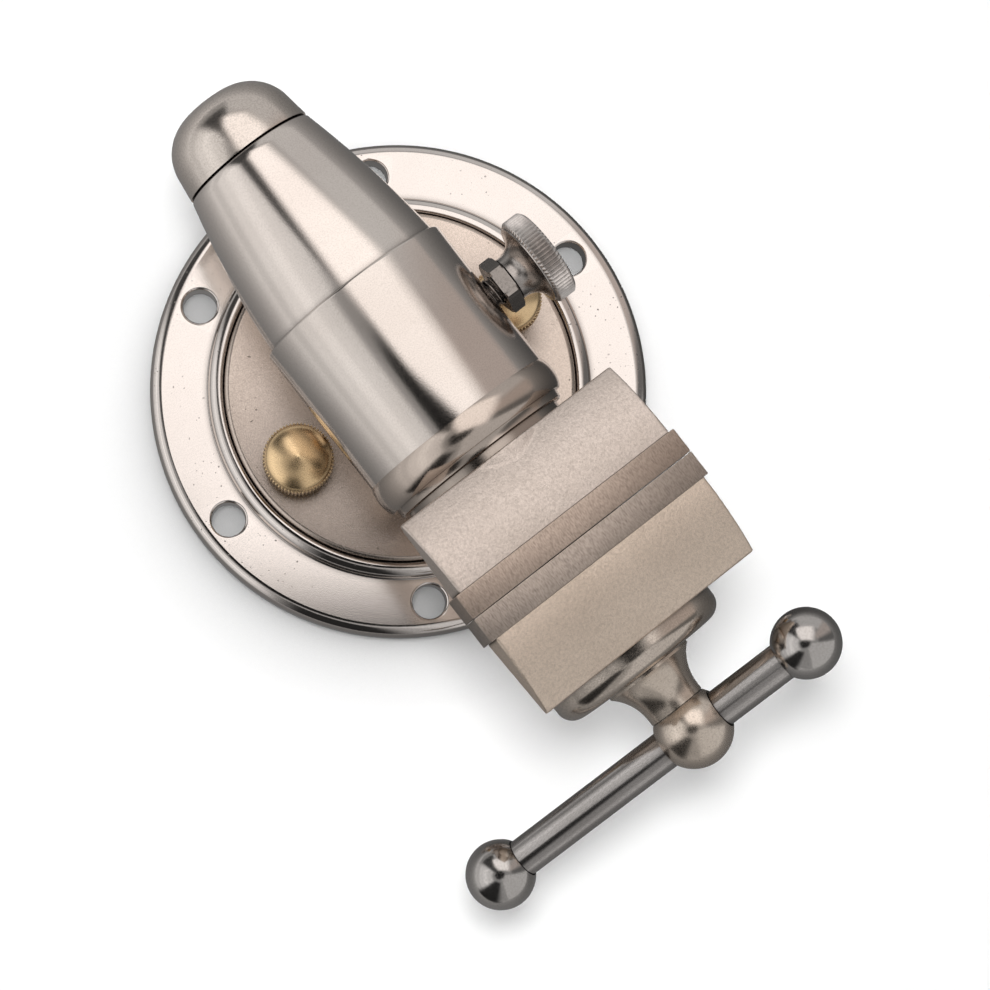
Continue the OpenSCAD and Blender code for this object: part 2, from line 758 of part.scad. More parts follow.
module nose_cap() {
    spigot = cone_bore_d - 2 * fixed_fit;
    color(nickel) on_head() difference() {
        turned() {
            nose_outline();
            translate([0, nose_start - nose_spigot_len]) square([spigot / 2, nose_spigot_len + nose_wall]);
        }
        rod_y(spigot - 2 * nose_wall, 0, nose_end - nose_wall);
    }
}

module lead_nut() {
    color(brass) on_head() difference() {
        rod_y(nut_d, nut_start + face_gap, tube_end + step_back - face_gap);
        rod_y(spindle_d + 2 * run_fit, 0, 2 * tube_end);
    }
}

module moving_jaw() {
    core_r = moving_core_d / 2;
    color(nickel) difference() {
        union() {
            as_moving() jaw_half(moving_core_d);
            on_head() rotate([0, 0, 180]) turned()
                rounded_right(0, core_r, moving_outer - jaw_len / 2, boss_face, boss_round);
        }
        on_head() rod_y(slide_d + 2 * fixed_fit, -web_back, 0);
        on_head() rod_y(spindle_d + 2 * run_fit, -2 * boss_face, 0);
        as_moving() plate_holes(fixed_fit);
    }
}

module slide_tube() {
    color(steel) on_head() difference() {
        rod_y(slide_d, -web_back + face_gap, slide_end);
        rod_y(slide_bore_d, -2 * web_back, 2 * slide_end);
        translate([-guide_slot / 2, -guide_y - guide_slot / 2, -slide_d])
            cube([guide_slot, jaw_travel + guide_slot, slide_d]);
    }
}

module moving_plate() {
    as_moving() jaw_plate();
}

module moving_plate_screws() {
    as_moving() plate_screws();
}

// Outline of the spindle from its tail to its ball, distances towards the ball
module spindle_outline() {
    neck_y = flare_face + neck_from;
    flare_drop = (flare_d - neck_d) / 2;
    curve_from = flare_face + flare_rim;
    reach = neck_y - curve_from;
    curve_r = (reach * reach + flare_drop * flare_drop) / (2 * flare_drop);
    translate([0, -spindle_end]) square([spindle_d / 2, spindle_end + flare_face + flare_rim]);
    difference() {
        translate([0, flare_face]) square([flare_d / 2, neck_y - flare_face]);
        translate([neck_d / 2 + curve_r, neck_y]) circle(r = curve_r);
    }
    translate([0, curve_from]) square([neck_d / 2, ball_y - curve_from]);
    intersection() {
        translate([0, ball_y]) circle(d = ball_d);
        translate([0, ball_y - ball_d]) square([ball_d, 2 * ball_d]);
    }
}

// Places a child drawn about the spindle axis, with the handle along X
module on_spindle() {
    translate([0, 0, axis_h]) rotate([0, -bar_tilt, 0]) children();
}

module spindle() {
    eye_d = bar_d + 2 * bar_fit;
    rim_from = sqrt(ball_d * ball_d - eye_d * eye_d) / 2;
    color(nickel) on_spindle() difference() {
        rotate([0, 0, 180]) turned() spindle_outline();
        translate([0, -ball_y, 0]) rod_x(eye_d, -ball_d, ball_d);
        for (turn = [0, 180]) translate([0, -ball_y, 0]) rotate([0, 0, turn])
            translate([rim_from - eye_chamfer, 0, 0]) rotate([0, 90, 0])
                cylinder(d1 = eye_d, d2 = eye_d + 4 * eye_chamfer, h = 2 * eye_chamfer);
        translate([0, -keeper_front + keeper_len / 2, 0])
            rod_z(cross_pin_d + 2 * fixed_fit, -keeper_d, keeper_d);
    }
}

module keeper_washer() {
    color(brass) on_head() difference() {
        rod_y(keeper_d + step_back, face_gap - web_back, face_gap - web_back + keeper_washer_t);
        rod_y(spindle_d + 4 * run_fit, -2 * web_back, 0);
    }
}

module spindle_keeper() {
    color(steel) on_spindle() difference() {
        rod_y(keeper_d, -keeper_front, keeper_len - keeper_front);
        rod_y(spindle_d + 2 * fixed_fit, -2 * keeper_front, 0);
        translate([0, -keeper_front + keeper_len / 2, 0])
            rod_z(cross_pin_d + 2 * fixed_fit, -keeper_d, keeper_d);
    }
}

module keeper_pin() {
    reach = keeper_d / 2 - step_back;
    color(steel) on_spindle() translate([0, -keeper_front + keeper_len / 2, 0])
        rod_z(cross_pin_d, -reach, reach);
}

module handle_bar() {
    far = bar_span - bar_short;
    color(steel) on_spindle() translate([0, -ball_y, 0]) rod_x(bar_d, -far, bar_short);
}

// Balls with a blind hole that takes the bar's end
module handle_balls() {
    far = bar_span - bar_short;
    color(steel) on_spindle() translate([0, -ball_y, 0]) difference() {
        union() {
            translate([bar_short, 0, 0]) sphere(d = knob_d);
            translate([-far, 0, 0]) sphere(d = knob_d);
        }
        rod_x(bar_d + 2 * run_fit, -far - run_fit, bar_short + run_fit);
    }
}

base_ring();
turntable();
clamp_ring();
thumb_screw_left();
thumb_screw_right();
thumb_washers();
bearing_barrel();
pedestal_bolt();
bolt_washer();
locating_pins();
lock_screw();
jam_nut();
lock_pad();
fixed_jaw();
fixed_plate();
fixed_plate_screws();
guide_screw();
thrust_washer();
tail_cone();
nose_cap();
lead_nut();
moving_jaw();
slide_tube();
moving_plate();
moving_plate_screws();
spindle();
keeper_washer();
spindle_keeper();
keeper_pin();
handle_bar();
handle_balls();
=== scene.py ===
"""Looks of the rotatable bench vise: detailed meshes, metal finishes, studio and camera.

Lengths are in millimetres in the named values and become metres in the meshes.
"""

import json
import math

import bmesh
import bpy
from mathutils import Matrix, Vector


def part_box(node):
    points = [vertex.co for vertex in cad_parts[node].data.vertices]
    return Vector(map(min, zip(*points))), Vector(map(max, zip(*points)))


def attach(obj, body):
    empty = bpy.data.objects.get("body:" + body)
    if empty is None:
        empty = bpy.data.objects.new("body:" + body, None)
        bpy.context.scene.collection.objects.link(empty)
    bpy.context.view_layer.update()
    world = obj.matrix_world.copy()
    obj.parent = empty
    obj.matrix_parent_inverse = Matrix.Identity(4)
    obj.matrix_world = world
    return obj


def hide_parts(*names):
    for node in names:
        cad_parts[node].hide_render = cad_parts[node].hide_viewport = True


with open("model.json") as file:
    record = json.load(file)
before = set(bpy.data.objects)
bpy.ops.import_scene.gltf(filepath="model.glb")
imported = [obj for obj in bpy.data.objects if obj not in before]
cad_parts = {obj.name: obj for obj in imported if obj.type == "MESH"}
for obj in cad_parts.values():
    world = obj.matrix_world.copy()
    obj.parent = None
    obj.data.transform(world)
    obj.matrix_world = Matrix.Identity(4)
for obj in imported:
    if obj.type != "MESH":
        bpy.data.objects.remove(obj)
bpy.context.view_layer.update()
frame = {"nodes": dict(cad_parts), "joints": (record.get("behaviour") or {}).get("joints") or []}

MM = 0.001

# Places read from the frame, in millimetres
joint = {j["name"]: j for j in frame["joints"]}
AXIS_H = joint["head_roll"]["pos_m"][2] / MM
BAR_AXIS = Vector(joint["handle_slide"]["axis"])
BAR_TILT = math.atan2(BAR_AXIS.z, BAR_AXIS.x)
LOCK_Y = joint["lock_turn"]["pos_m"][1] / MM
THUMB_X = joint["right_thumb_turn"]["pos_m"][0] / MM


def node_span(name, axis):
    """Lowest and highest place of a CAD node along an axis, in millimetres."""
    low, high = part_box(name)
    return low[axis] / MM, high[axis] / MM


FLANGE_R = node_span("base_ring", 0)[1]
RIM_TOP = node_span("base_ring", 2)[1]
DISC_R = node_span("turntable", 0)[1]
DISC_TOP = node_span("turntable", 2)[1]
HUB_BOTTOM = node_span("turntable", 2)[0]
THUMB_TOP = node_span("thumb_screw_right", 2)[1]
WASHER_TOP = node_span("thumb_washers", 2)[1]
BARREL_FRONT, BARREL_REAR = node_span("bearing_barrel", 1)
THRUST_FRONT, THRUST_REAR = node_span("thrust_washer", 1)
TUBE_END = node_span("fixed_jaw", 1)[1]
CONE_START, CONE_END = node_span("tail_cone", 1)
NOSE_END = node_span("nose_cap", 1)[1]
PLATE_SEAT = node_span("fixed_plate", 1)[1]
MOVING_SEAT = node_span("moving_plate", 1)[0]
BOSS_FACE = -node_span("moving_jaw", 1)[0]
SPINDLE_TAIL = node_span("spindle", 1)[1]
SPINDLE_END = -node_span("spindle", 1)[0]
LOCK_TIP, LOCK_END = node_span("lock_screw", 0)
JAM_FROM, JAM_TO = node_span("jam_nut", 0)

# Sizes of the pieces, in millimetres, the same as the construction's
FLANGE_T = 6.0
FLANGE_ROUND = 2.4
HOLE_CIRCLE_R = 43.3
HOLE_R = 3.4
HOLE_COUNT = 6
HOLE_LIP = 0.5
HOLLOW_R = 34.7
RIM_R = 38.4
RIM_ROUND = 2.2
RIM_INNER_ROUND = 0.9
RIM_FOOT_ROUND = 0.25
LEDGE_R = 31.0
LEDGE_BOTTOM = 3.7
HUB_R = 20.0
SPIGOT_R = 8.0
DISC_ROUND = 1.0
BARREL_R = 20.25
BARREL_ROUND = 0.55
BEARING_R = 16.0
WAIST_R = 12.5
FOOT_R = 17.0
FOOT_EDGE = 1.4
FOOT_STEP = 0.15
NECK_SINK = 6.0
TUBE_R = 15.95
TUBE_THREAD_R = 15.0
TUBE_BORE_R = 12.5
TUBE_SINK = 2.0
TUBE_STEP = 0.2
TUBE_END_ROUND = 0.5
RING_GAP = 0.1
RING_INSET = 0.25
RING_ROUND = 0.25
COLLAR_R = 20.8
COLLAR_LEN = 9.0
COLLAR_BEAD = 7.2
COLLAR_CREST = 1.9
GROOVE_R = 17.5
CONE_FRONT_R = 19.5
CONE_REAR_R = 13.75
CONE_SWELL = 0.7
CONE_BORE_R = 8.5
CONE_FRONT_FLAT = 0.5
CONE_REAR_FLAT = 0.4
CONE_BOTTOM_GAP = 0.6
NOSE_ROUND = 9.2
NOSE_TAPER = 8.0
NOSE_GAP = 0.2
NOSE_EDGE_H = 0.45
NOSE_SPIGOT_LEN = 6.0
NUT_R = 14.02
JAW_W = 50.0
JAW_LEN = 16.4
JAW_TOP = 23.1
MOVING_CORE_R = 18.5
PLATE_W = 52.0
PLATE_H = 8.0
PLATE_T = 5.2
PLATE_PROUD = 0.15
PLATE_BEVEL = 0.22
SCREW_X = 16.0
SCREW_R = 1.75
SCREW_HEAD_R = 3.05
BOSS_ROUND = 3.4
SPINDLE_R = 5.0
FLARE_R = 9.1
FLARE_RIM = 0.8
FLARE_STEP = 0.15
SPINDLE_BEVEL = 0.8
NECK_R = 5.85
NECK_FROM = 8.0
BALL_R = 7.65
BAR_R = 3.75
KNOB_R = 6.8
KNOB_SEAT = 0.25
KNOB_LIP = 0.1
KNOB_LIP_H = 0.15
KNOB_SINK = 0.3
KNOB_FLOOR = 2.0
EYE_R = 3.85
EYE_FLARE = 3.5
EYE_REACH = 12.0
BALL_Y = SPINDLE_END - BALL_R
THUMB_R = 7.0
THUMB_TEETH = 60
THUMB_SHANK_R = 2.5
THUMB_NECK_R = 4.5
THUMB_NECK_H = 4.2
THUMB_BAND_H = 6.2
THUMB_TOOTH = 0.40
THUMB_NECK_TAPER = 0.5
THUMB_NECK_TAPER_H = 0.6
THUMB_NECK_SINK = 0.3
THUMB_SEAT_GAP = 0.04
DOME_INSET = 0.08
DOME_STEP = 0.15
DOME_TIP_R = 0.25
DOME_PEAK = 0.28
DOME_RINGS = 18
WASHER_R = 5.5
WASHER_ROUND = 0.3
WASHER_GAP = 0.1
LOCK_R = 9.25
LOCK_TEETH = 68
LOCK_HEAD_T = 4.4
LOCK_NECK_LEN = 5.0
LOCK_NECK_R = 4.5
LOCK_FLARE_R = 8.4
LOCK_THREAD_R = 3.0
LOCK_PITCH = 1.0
LOCK_THREAD_DEPTH = 0.45
LOCK_TOOTH = 0.5
LOCK_FLARE_RIM = 0.3
LOCK_NECK_SINK = 0.2
THREAD_SINK = 0.5
JAM_FLATS = 10.0
JAM_BEVEL = 0.45
JAM_BEVEL_H = 0.28

# Roundings, gaps and overruns that several pieces share, in millimetres
EDGE_FINE = 0.2
EDGE_SOFT = 0.4
SEAT_GAP = 0.05
SCREWED_GAP = 0.02
OVERRUN = 1.0
CUT_PAST = 5.0
KEEP_PAST = 2.0
KEEP_HALF_H = 40.0
CORNER_NEAR = 2.0

# Edges as steps outward and along, in millimetres
SMALL_BEVEL = ((-0.25, 0), (0, 0.25))
COLLAR_SEAM = ((0.12, 0.08), (0, 0.3))
COLLAR_EDGE = ((-0.1, -0.3), (-0.5, 0))
CONE_FRONT_EDGE = ((-0.6, 0), (-0.2, 0.15))
CONE_REAR_EDGE = ((-0.25, -0.08), (-0.6, 0))
NOSE_EDGE = ((-0.5, 0), (-0.12, 0.12))
NECK_GROOVE = ((0, -0.25), (-0.18, -0.1), (-0.12, 0.02))
EYE_EDGE = ((0, -0.7), (0.12, -0.5), (0.5, 0.05))

# Toothed edges as steps inward and along, and the share of the tooth there
THUMB_FOOT = ((0.7, 0, 0), (0.3, 0.15, 0.4), (0, 0.5, 1))
THUMB_SHOULDER = ((0, -0.05, 1), (0.05, 0, 1), (0.40, 0.12, 0.05))
LOCK_EDGE = ((0.7, 0, 0), (0.25, 0.35, 0.7), (0, 0.6, 1))
LOCK_DISH = ((1.6, 0, 0), (2.0, 0.25, 0))

# The collar's bead: rings along it, and its middle and half length as shares of it
BEAD_RINGS = 28
BEAD_MIDDLE_SHARE = 0.52
BEAD_HALF_SHARE = 0.545

# How finely pieces are turned
DISC_STEPS = 288
FINE_STEPS = 240
SPINDLE_STEPS = 200
BALL_STEPS = 160
TUBE_STEPS = 128
ROD_STEPS = 96
HOLE_STEPS = 65
SCREW_HOLE_STEPS = 64
CONE_RINGS = 24
TOOTH_STEPS = 6
TOOTH_CURVE = 0.7
THREAD_STEPS = 48
THREAD_ROWS = 10
THREAD_CREST = 1.25

# Angles in degrees over which an edge stays sharp, and the bevel's settings
SHARP_ANGLE = 32
KNURL_SHARP = 50
THREAD_SHARP = 60
NUT_SHARP = 25
BEVEL_ANGLE = 40
BEVEL_SEGMENTS = 3
LEVEL_NORMAL = 0.9999
ON_AXIS = 1e-6

# Voxel size, smoothing steps and welding distance of the castings
CAST_VOXEL = 0.3
CAST_SOFTEN = 3
WELD = 0.002


# Places


def rolled_frame(angle):
    """The frame about the spindle axis, rolled by an angle about +Y."""
    return Matrix.Translation((0, 0, AXIS_H)) @ Matrix.Rotation(angle, 4, "Y")


def head_roll():
    """The head's roll at rest, from the slope of the fixed jaw's plate."""
    seat = [v.co for v in frame["nodes"]["fixed_plate"].data.vertices]
    left = min(seat, key=lambda c: c.x)
    right = max(seat, key=lambda c: c.x)
    top_left = max((c for c in seat if c.x < left.x + CORNER_NEAR * MM), key=lambda c: c.z)
    top_right = max((c for c in seat if c.x > right.x - CORNER_NEAR * MM), key=lambda c: c.z)
    return math.atan2(top_left.z - top_right.z, top_right.x - top_left.x)


HEAD = rolled_frame(head_roll())
SPIN = rolled_frame(-BAR_TILT)
TO_TAIL = Matrix.Rotation(-math.pi / 2, 4, "X")
TO_JAWS = Matrix.Rotation(math.pi / 2, 4, "X")
TO_RIGHT = Matrix.Rotation(math.pi / 2, 4, "Y")
UPRIGHT = Matrix.Identity(4)
BARREL = Matrix.Translation((0, 0, AXIS_H)) @ TO_TAIL
HEAD_TAIL = HEAD @ TO_TAIL
HEAD_JAWS = HEAD @ TO_JAWS
SPIN_JAWS = SPIN @ TO_JAWS
LOCK = Matrix.Translation((0, LOCK_Y, AXIS_H)) @ TO_RIGHT
FIXED_SEAT = HEAD @ Matrix.Translation((0, PLATE_SEAT, 0))
MOVING_SEAT_FRAME = HEAD @ Matrix.Translation((0, MOVING_SEAT, 0)) @ Matrix.Rotation(math.pi, 4, "Z")


# Mesh helpers


def mend(mesh, weld=0):
    """Welds points closer than a distance, if one is given, and turns the faces outward."""
    bm = bmesh.new()
    bm.from_mesh(mesh)
    if weld:
        bmesh.ops.remove_doubles(bm, verts=bm.verts, dist=weld)
    bmesh.ops.recalc_face_normals(bm, faces=bm.faces)
    bm.to_mesh(mesh)
    bm.free()


def make_object(name, verts, faces, place, sharp=SHARP_ANGLE):
    """A smooth-shaded mesh from millimetre points, with edges over an angle kept sharp."""
    mesh = bpy.data.meshes.new(name)
    mesh.from_pydata([(place @ Vector(v)) * MM for v in verts], [], faces)
    mesh.update()
    mend(mesh)
    mesh.shade_smooth()
    mesh.set_sharp_from_angle(angle=math.radians(sharp))
    return link_object(name, mesh)


def link_object(name, data):
    """A new object with its data, put in the scene."""
    item = bpy.data.objects.new(name, data)
    bpy.context.scene.collection.objects.link(item)
    return item


def turn_point(r, k, steps, d):
    """The point at step k of a turn, at a radius and a distance along the axis."""
    t = 2 * math.pi * k / steps
    return (r * math.cos(t), r * math.sin(t), d)


def strip_faces(rows, steps, looped=False):
    """Quads between rows of points, each row a full turn, and from the last row to the first if looped."""
    faces = []
    for i in range(rows if looped else rows - 1):
        a, b = i * steps, (i + 1) % rows * steps
        for k in range(steps):
            n = (k + 1) % steps
            faces.append((a + k, a + n, b + n, b + k))
    return faces


def arc(cx, cy, r, start, end, count):
    """Points of an arc in degrees, both ends included."""
    turn = [math.radians(start + (end - start) * i / count) for i in range(count + 1)]
    return [(cx + r * math.cos(t), cy + r * math.sin(t)) for t in turn]


def rounded(corners, count=6):
    """A path through corners (x, y, radius) rounded by their radii, open if it starts on the axis."""
    path = []
    total = len(corners)
    for i, corner in enumerate(corners):
        x, y = corner[0], corner[1]
        radius = corner[2] if len(corner) > 2 else 0
        ends = corners[0][0] < ON_AXIS and i in (0, total - 1)
        if radius <= 0 or ends:
            path.append((x, y))
            continue
        here = Vector((x, y))
        before = (Vector(corners[i - 1][:2]) - here).normalized()
        after = (Vector(corners[(i + 1) % total][:2]) - here).normalized()
        half = before.angle(after) / 2
        reach = radius / math.tan(half)
        middle = here + (before + after).normalized() * (radius / math.sin(half))
        first = here + before * reach - middle
        last = here + after * reach - middle
        sweep = first.angle_signed(last)
        for k in range(count + 1):
            turn = -sweep * k / count
            c, s = math.cos(turn), math.sin(turn)
            path.append((middle.x + first.x * c - first.y * s, middle.y + first.x * s + first.y * c))
    return path


def ring_outline(inner, outer, low, high, low_round, high_round):
    """The outline of a ring, or of a disc if its inner radius is zero, with its outer edges rounded."""
    return rounded([(inner, low), (outer, low, low_round), (outer, high, high_round), (inner, high)])


def edge_points(r, d, edge):
    """Outline points of an edge, from its table of steps outward and along."""
    return [(r + out, d + along) for out, along in edge]


def lathe(name, outline, place, steps):
    """Turns an outline of (radius, distance) about its frame's Z axis, open if it starts on the axis."""
    verts = []
    rings = []
    for r, d in outline:
        if r < ON_AXIS:
            rings.append([len(verts)])
            verts.append((0, 0, d))
        else:
            rings.append(list(range(len(verts), len(verts) + steps)))
            verts += [turn_point(r, k, steps, d) for k in range(steps)]
    faces = []
    pairs = list(zip(rings, rings[1:]))
    if outline[0][0] >= ON_AXIS:
        pairs.append((rings[-1], rings[0]))
    for a, b in pairs:
        if len(a) == 1 and len(b) == 1:
            continue
        for k in range(steps):
            n = (k + 1) % steps
            if len(a) == 1:
                faces.append((a[0], b[n], b[k]))
            elif len(b) == 1:
                faces.append((a[k], a[n], b[0]))
            else:
                faces.append((a[k], a[n], b[n], b[k]))
    return make_object(name, verts, faces, place)


def toothed_lathe(name, rings, teeth, place):
    """Rings of (radius, distance, tooth depth) joined into a knurled, capped solid."""
    steps = teeth * TOOTH_STEPS
    verts = []
    for r, d, depth in rings:
        for k in range(steps):
            share = (k % TOOTH_STEPS) / TOOTH_STEPS
            dip = depth * (0.5 - 0.5 * math.cos(2 * math.pi * share)) ** TOOTH_CURVE
            verts.append(turn_point(r - dip, k, steps, d))
    faces = strip_faces(len(rings), steps)
    verts.append((0, 0, rings[0][1]))
    verts.append((0, 0, rings[-1][1]))
    top = (len(rings) - 1) * steps
    for k in range(steps):
        n = (k + 1) % steps
        faces.append((len(verts) - 2, n, k))
        faces.append((len(verts) - 1, top + k, top + n))
    return make_object(name, verts, faces, place, KNURL_SHARP)


def screw_thread(name, r, depth, pitch, start, end, place):
    """A rod with a real helical thread, capped at both ends."""
    steps = THREAD_STEPS
    rows = int((end - start) / pitch * THREAD_ROWS)
    verts = []
    for i in range(rows + 1):
        d = start + (end - start) * i / rows
        for k in range(steps):
            share = (d / pitch - k / steps) % 1.0
            ridge = 1 - abs(2 * share - 1)
            radius = r - depth * (1 - min(1.0, ridge * THREAD_CREST))
            verts.append(turn_point(radius, k, steps, d))
    faces = strip_faces(rows + 1, steps)
    faces.append(tuple(range(steps))[::-1])
    faces.append(tuple(rows * steps + k for k in range(steps)))
    return make_object(name, verts, faces, place, THREAD_SHARP)


def prism(name, outline, start, end, place):
    """A straight solid: an outline of (y, z) drawn out along X."""
    count = len(outline)
    verts = [(along, y, z) for along in (start, end) for y, z in outline]
    faces = [tuple(range(count)), tuple(range(2 * count - 1, count - 1, -1))]
    for k in range(count):
        n = (k + 1) % count
        faces.append((k, k + count, n + count, n))
    return make_object(name, verts, faces, place)


def join(name, pieces):
    """Gathers several meshes into one piece."""
    bm = bmesh.new()
    for piece in pieces:
        bm.from_mesh(piece.data)
        bpy.data.objects.remove(piece)
    mesh = bpy.data.meshes.new(name)
    bm.to_mesh(mesh)
    bm.free()
    return link_object(name, mesh)


def rod(name, r, start, end, place, steps):
    """A plain rod."""
    return lathe(name, [(0, start), (r, start), (r, end), (0, end)], place, steps)


def combine(piece, tool, operation):
    """Applies a boolean with a tool and removes the tool."""
    cut = piece.modifiers.new("combine", "BOOLEAN")
    cut.operation = operation
    cut.solver = "EXACT"
    cut.object = tool
    apply_modifiers(piece)
    bpy.data.objects.remove(tool)


def apply_modifiers(piece):
    """Bakes a piece's modifiers into its mesh."""
    graph = bpy.context.evaluated_depsgraph_get()
    done = bpy.data.meshes.new_from_object(piece.evaluated_get(graph))
    piece.modifiers.clear()
    piece.data = done


def resharpen(piece, level_faces=False):
    """Smooth shading with sharp edges kept, and with level faces flat if wanted."""
    piece.data.shade_smooth()
    piece.data.set_sharp_from_angle(angle=math.radians(SHARP_ANGLE))
    if level_faces:
        for face in piece.data.polygons:
            face.use_smooth = abs(face.normal.z) < LEVEL_NORMAL
    return piece


def bevel(piece, width):
    """Rounds a piece's hard edges."""
    edge = piece.modifiers.new("edges", "BEVEL")
    edge.width = width * MM
    edge.segments = BEVEL_SEGMENTS
    edge.limit_method = "ANGLE"
    edge.angle_limit = math.radians(BEVEL_ANGLE)
    edge.harden_normals = False
    apply_modifiers(piece)
    return resharpen(piece)


def finish_piece(piece, material, body, slot, *nodes):
    """Gives a piece its finish and body, and hides the nodes that it stands for."""
    piece.data.materials.clear()
    piece.data.materials.append(material)
    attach(piece, body)
    for name in nodes:
        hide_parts(name)
    return piece


# Finishes


# Slow drift of the tone
METAL_DRIFT = 45
CAST_DRIFT = 60
DRIFT_DETAIL = 3
DRIFT_SPAN = (0.35, 0.70)

# Grain, its specks and its gloss
GRAIN_DETAIL = 6
GRAIN_ROUGH = 0.6
GLOSS_SPAN = (0.3, 0.7)
SPECK_SPAN = (0.42, 0.66)
SPECK_LEVEL = 0.66

# Worn edges
WORN_SPAN = (0.51, 0.56)
WORN_SHARE = 0.25
WORN_LEVEL = 1.12

# Painted shade: ambient occlusion darkens the colour in seams, inner corners and next to other parts
PAINTED_SHADE_SPAN = (0.30, 0.92)
PAINTED_SHADE_SAMPLES = 6

# Pits, gathered in patches
PIT_SCALE = 1500
PIT_ROUGH = 0.3
PIT_SPAN = (0.725, 0.755)
PIT_LEVEL = 0.30
PIT_DEPTH = 0.02
PATCH_SCALE = 55
PATCH_SPAN = (0.50, 0.62)

# Coarse sand and fine grit of the castings
SAND_SCALE = 1900
SAND_ROUGH = 0.65
SAND_SPAN = (0.40, 0.68)
SAND_SHARE = 0.35
SAND_LEVEL = 0.60
SAND_RELIEF = 0.07
GRIT_SCALE = 5200
GRIT_ROUGH = 0.7
GRIT_SHARE = 0.45
GRIT_LEVEL = 0.62
GRIT_RELIEF = 0.03
CAST_ROUGHNESS = (0.34, 0.48)
# How far the castings' painted seam shade reaches, in millimetres, and the colour's share where it is deepest
CAST_PAINTED_SHADE_REACH = 1.0
CAST_PAINTED_SHADE_DEPTH = 0.3


def add_node(tree, kind, inputs):
    """A shader node with its inputs set, or linked where a socket is given."""
    node = tree.nodes.new("ShaderNode" + kind)
    for name, value in inputs.items():
        if isinstance(value, bpy.types.NodeSocket):
            tree.links.new(value, node.inputs[name])
        else:
            node.inputs[name].default_value = value
    return node


def new_material(name):
    """A material and its empty shader tree."""
    material = bpy.data.materials.new(name)
    material.use_nodes = True
    material.node_tree.nodes.clear()
    return material, material.node_tree


def noise(tree, scale, detail, rough=0.55, stretch=(1, 1, 1)):
    """A noise texture in the piece's own coordinates, stretched along an axis."""
    place = add_node(tree, "TexCoord", {})
    fit = add_node(tree, "Mapping", {"Vector": place.outputs["Object"], "Scale": stretch})
    field = add_node(tree, "TexNoise", {
        "Vector": fit.outputs["Vector"], "Scale": scale, "Detail": detail, "Roughness": rough,
    })
    return field.outputs["Fac"]


def remap(tree, value, low, high, to_low, to_high):
    """Carries a value from one span to another."""
    span = add_node(tree, "MapRange", {
        "Value": value, "From Min": low, "From Max": high, "To Min": to_low, "To Max": to_high,
    })
    return span.outputs["Result"]


def calculate(tree, operation, first, second):
    """A value worked out from two others."""
    step = add_node(tree, "Math", {0: first, 1: second})
    step.operation = operation
    return step.outputs["Value"]


def mix_colour(tree, share, first, second):
    """Mixes two colours, each a colour or a socket, by a share."""
    mix = add_node(tree, "Mix", {"Factor": share})
    mix.data_type = "RGBA"
    for socket, colour in ((mix.inputs[6], first), (mix.inputs[7], second)):
        if isinstance(colour, tuple):
            socket.default_value = (*colour, 1)
        else:
            tree.links.new(colour, socket)
    return mix.outputs[2]


def bump(tree, height, distance, **below):
    """A bump from a height, laid over another bump if its Normal is given."""
    lift = add_node(tree, "Bump", {"Height": height, "Distance": distance * MM, "Strength": 1.0, **below})
    return lift.outputs["Normal"]


def paint_hollow_shade(tree, tone, colour, reach, depth):
    """Paints shade into a tone by ambient occlusion: darker in seams, inner corners and next to other parts.
    """
    near = add_node(tree, "AmbientOcclusion", {"Distance": reach * MM})
    near.samples = PAINTED_SHADE_SAMPLES
    clear = remap(tree, near.outputs["AO"], *PAINTED_SHADE_SPAN, 0, 1)
    return mix_colour(tree, clear, tuple(c * depth for c in colour), tone)


def shaded(colour, share):
    """A colour with its level scaled."""
    return tuple(min(1.0, c * share) for c in colour)


def drifting(tree, colour, dark, scale):
    """A tone that drifts slowly between a colour and its darker neighbour."""
    drift = noise(tree, scale, DRIFT_DETAIL)
    return mix_colour(tree, remap(tree, drift, *DRIFT_SPAN, 0, 1), colour, dark)


def speckled(tree, tone, field, span, share, colour):
    """A tone with another colour laid over it where a field is high, up to a share."""
    return mix_colour(tree, remap(tree, field, *span, 0, share), tone, colour)


def put_out(tree, tone, gloss, normal):
    """The metal's main shader and the tree's output."""
    shader = add_node(tree, "BsdfPrincipled", {
        "Metallic": 1.0, "Base Color": tone, "Roughness": gloss, "Normal": normal,
    })
    add_node(tree, "OutputMaterial", {"Surface": shader.outputs["BSDF"]})


# reach and depth set the painted shade: how far ambient occlusion looks, in millimetres, and the share of the
# colour left where the shade is deepest
def metal(name, colour, dark, roughness, spread, grain, relief, stretch=(1, 1, 1), speck=0.25,
          pits=False, reach=1.4, depth=0.16):
    """Metal with slow drift, speckle, grain in its gloss and relief, worn edges, painted shade in seams and
    corners, and pits.
    """
    material, tree = new_material(name)
    edge = add_node(tree, "NewGeometry", {})
    fine = noise(tree, grain, GRAIN_DETAIL, GRAIN_ROUGH, stretch)
    tone = drifting(tree, colour, dark, METAL_DRIFT)
    tone = speckled(tree, tone, edge.outputs["Pointiness"], WORN_SPAN, WORN_SHARE, shaded(colour, WORN_LEVEL))
    tone = speckled(tree, tone, fine, SPECK_SPAN, speck, shaded(dark, SPECK_LEVEL))
    gloss = remap(tree, fine, *GLOSS_SPAN, roughness - spread, roughness + spread)
    normal = bump(tree, fine, relief)
    if pits:
        hole = pit_mask(tree)
        tone = mix_colour(tree, hole, tone, shaded(colour, PIT_LEVEL))
        normal = bump(tree, remap(tree, hole, 0, 1, 1, 0), PIT_DEPTH, Normal=normal)
    # painted shade: the tone darkens by ambient occlusion within reach millimetres, down to the colour times
    # depth
    put_out(tree, paint_hollow_shade(tree, tone, colour, reach, depth), gloss, normal)
    return material


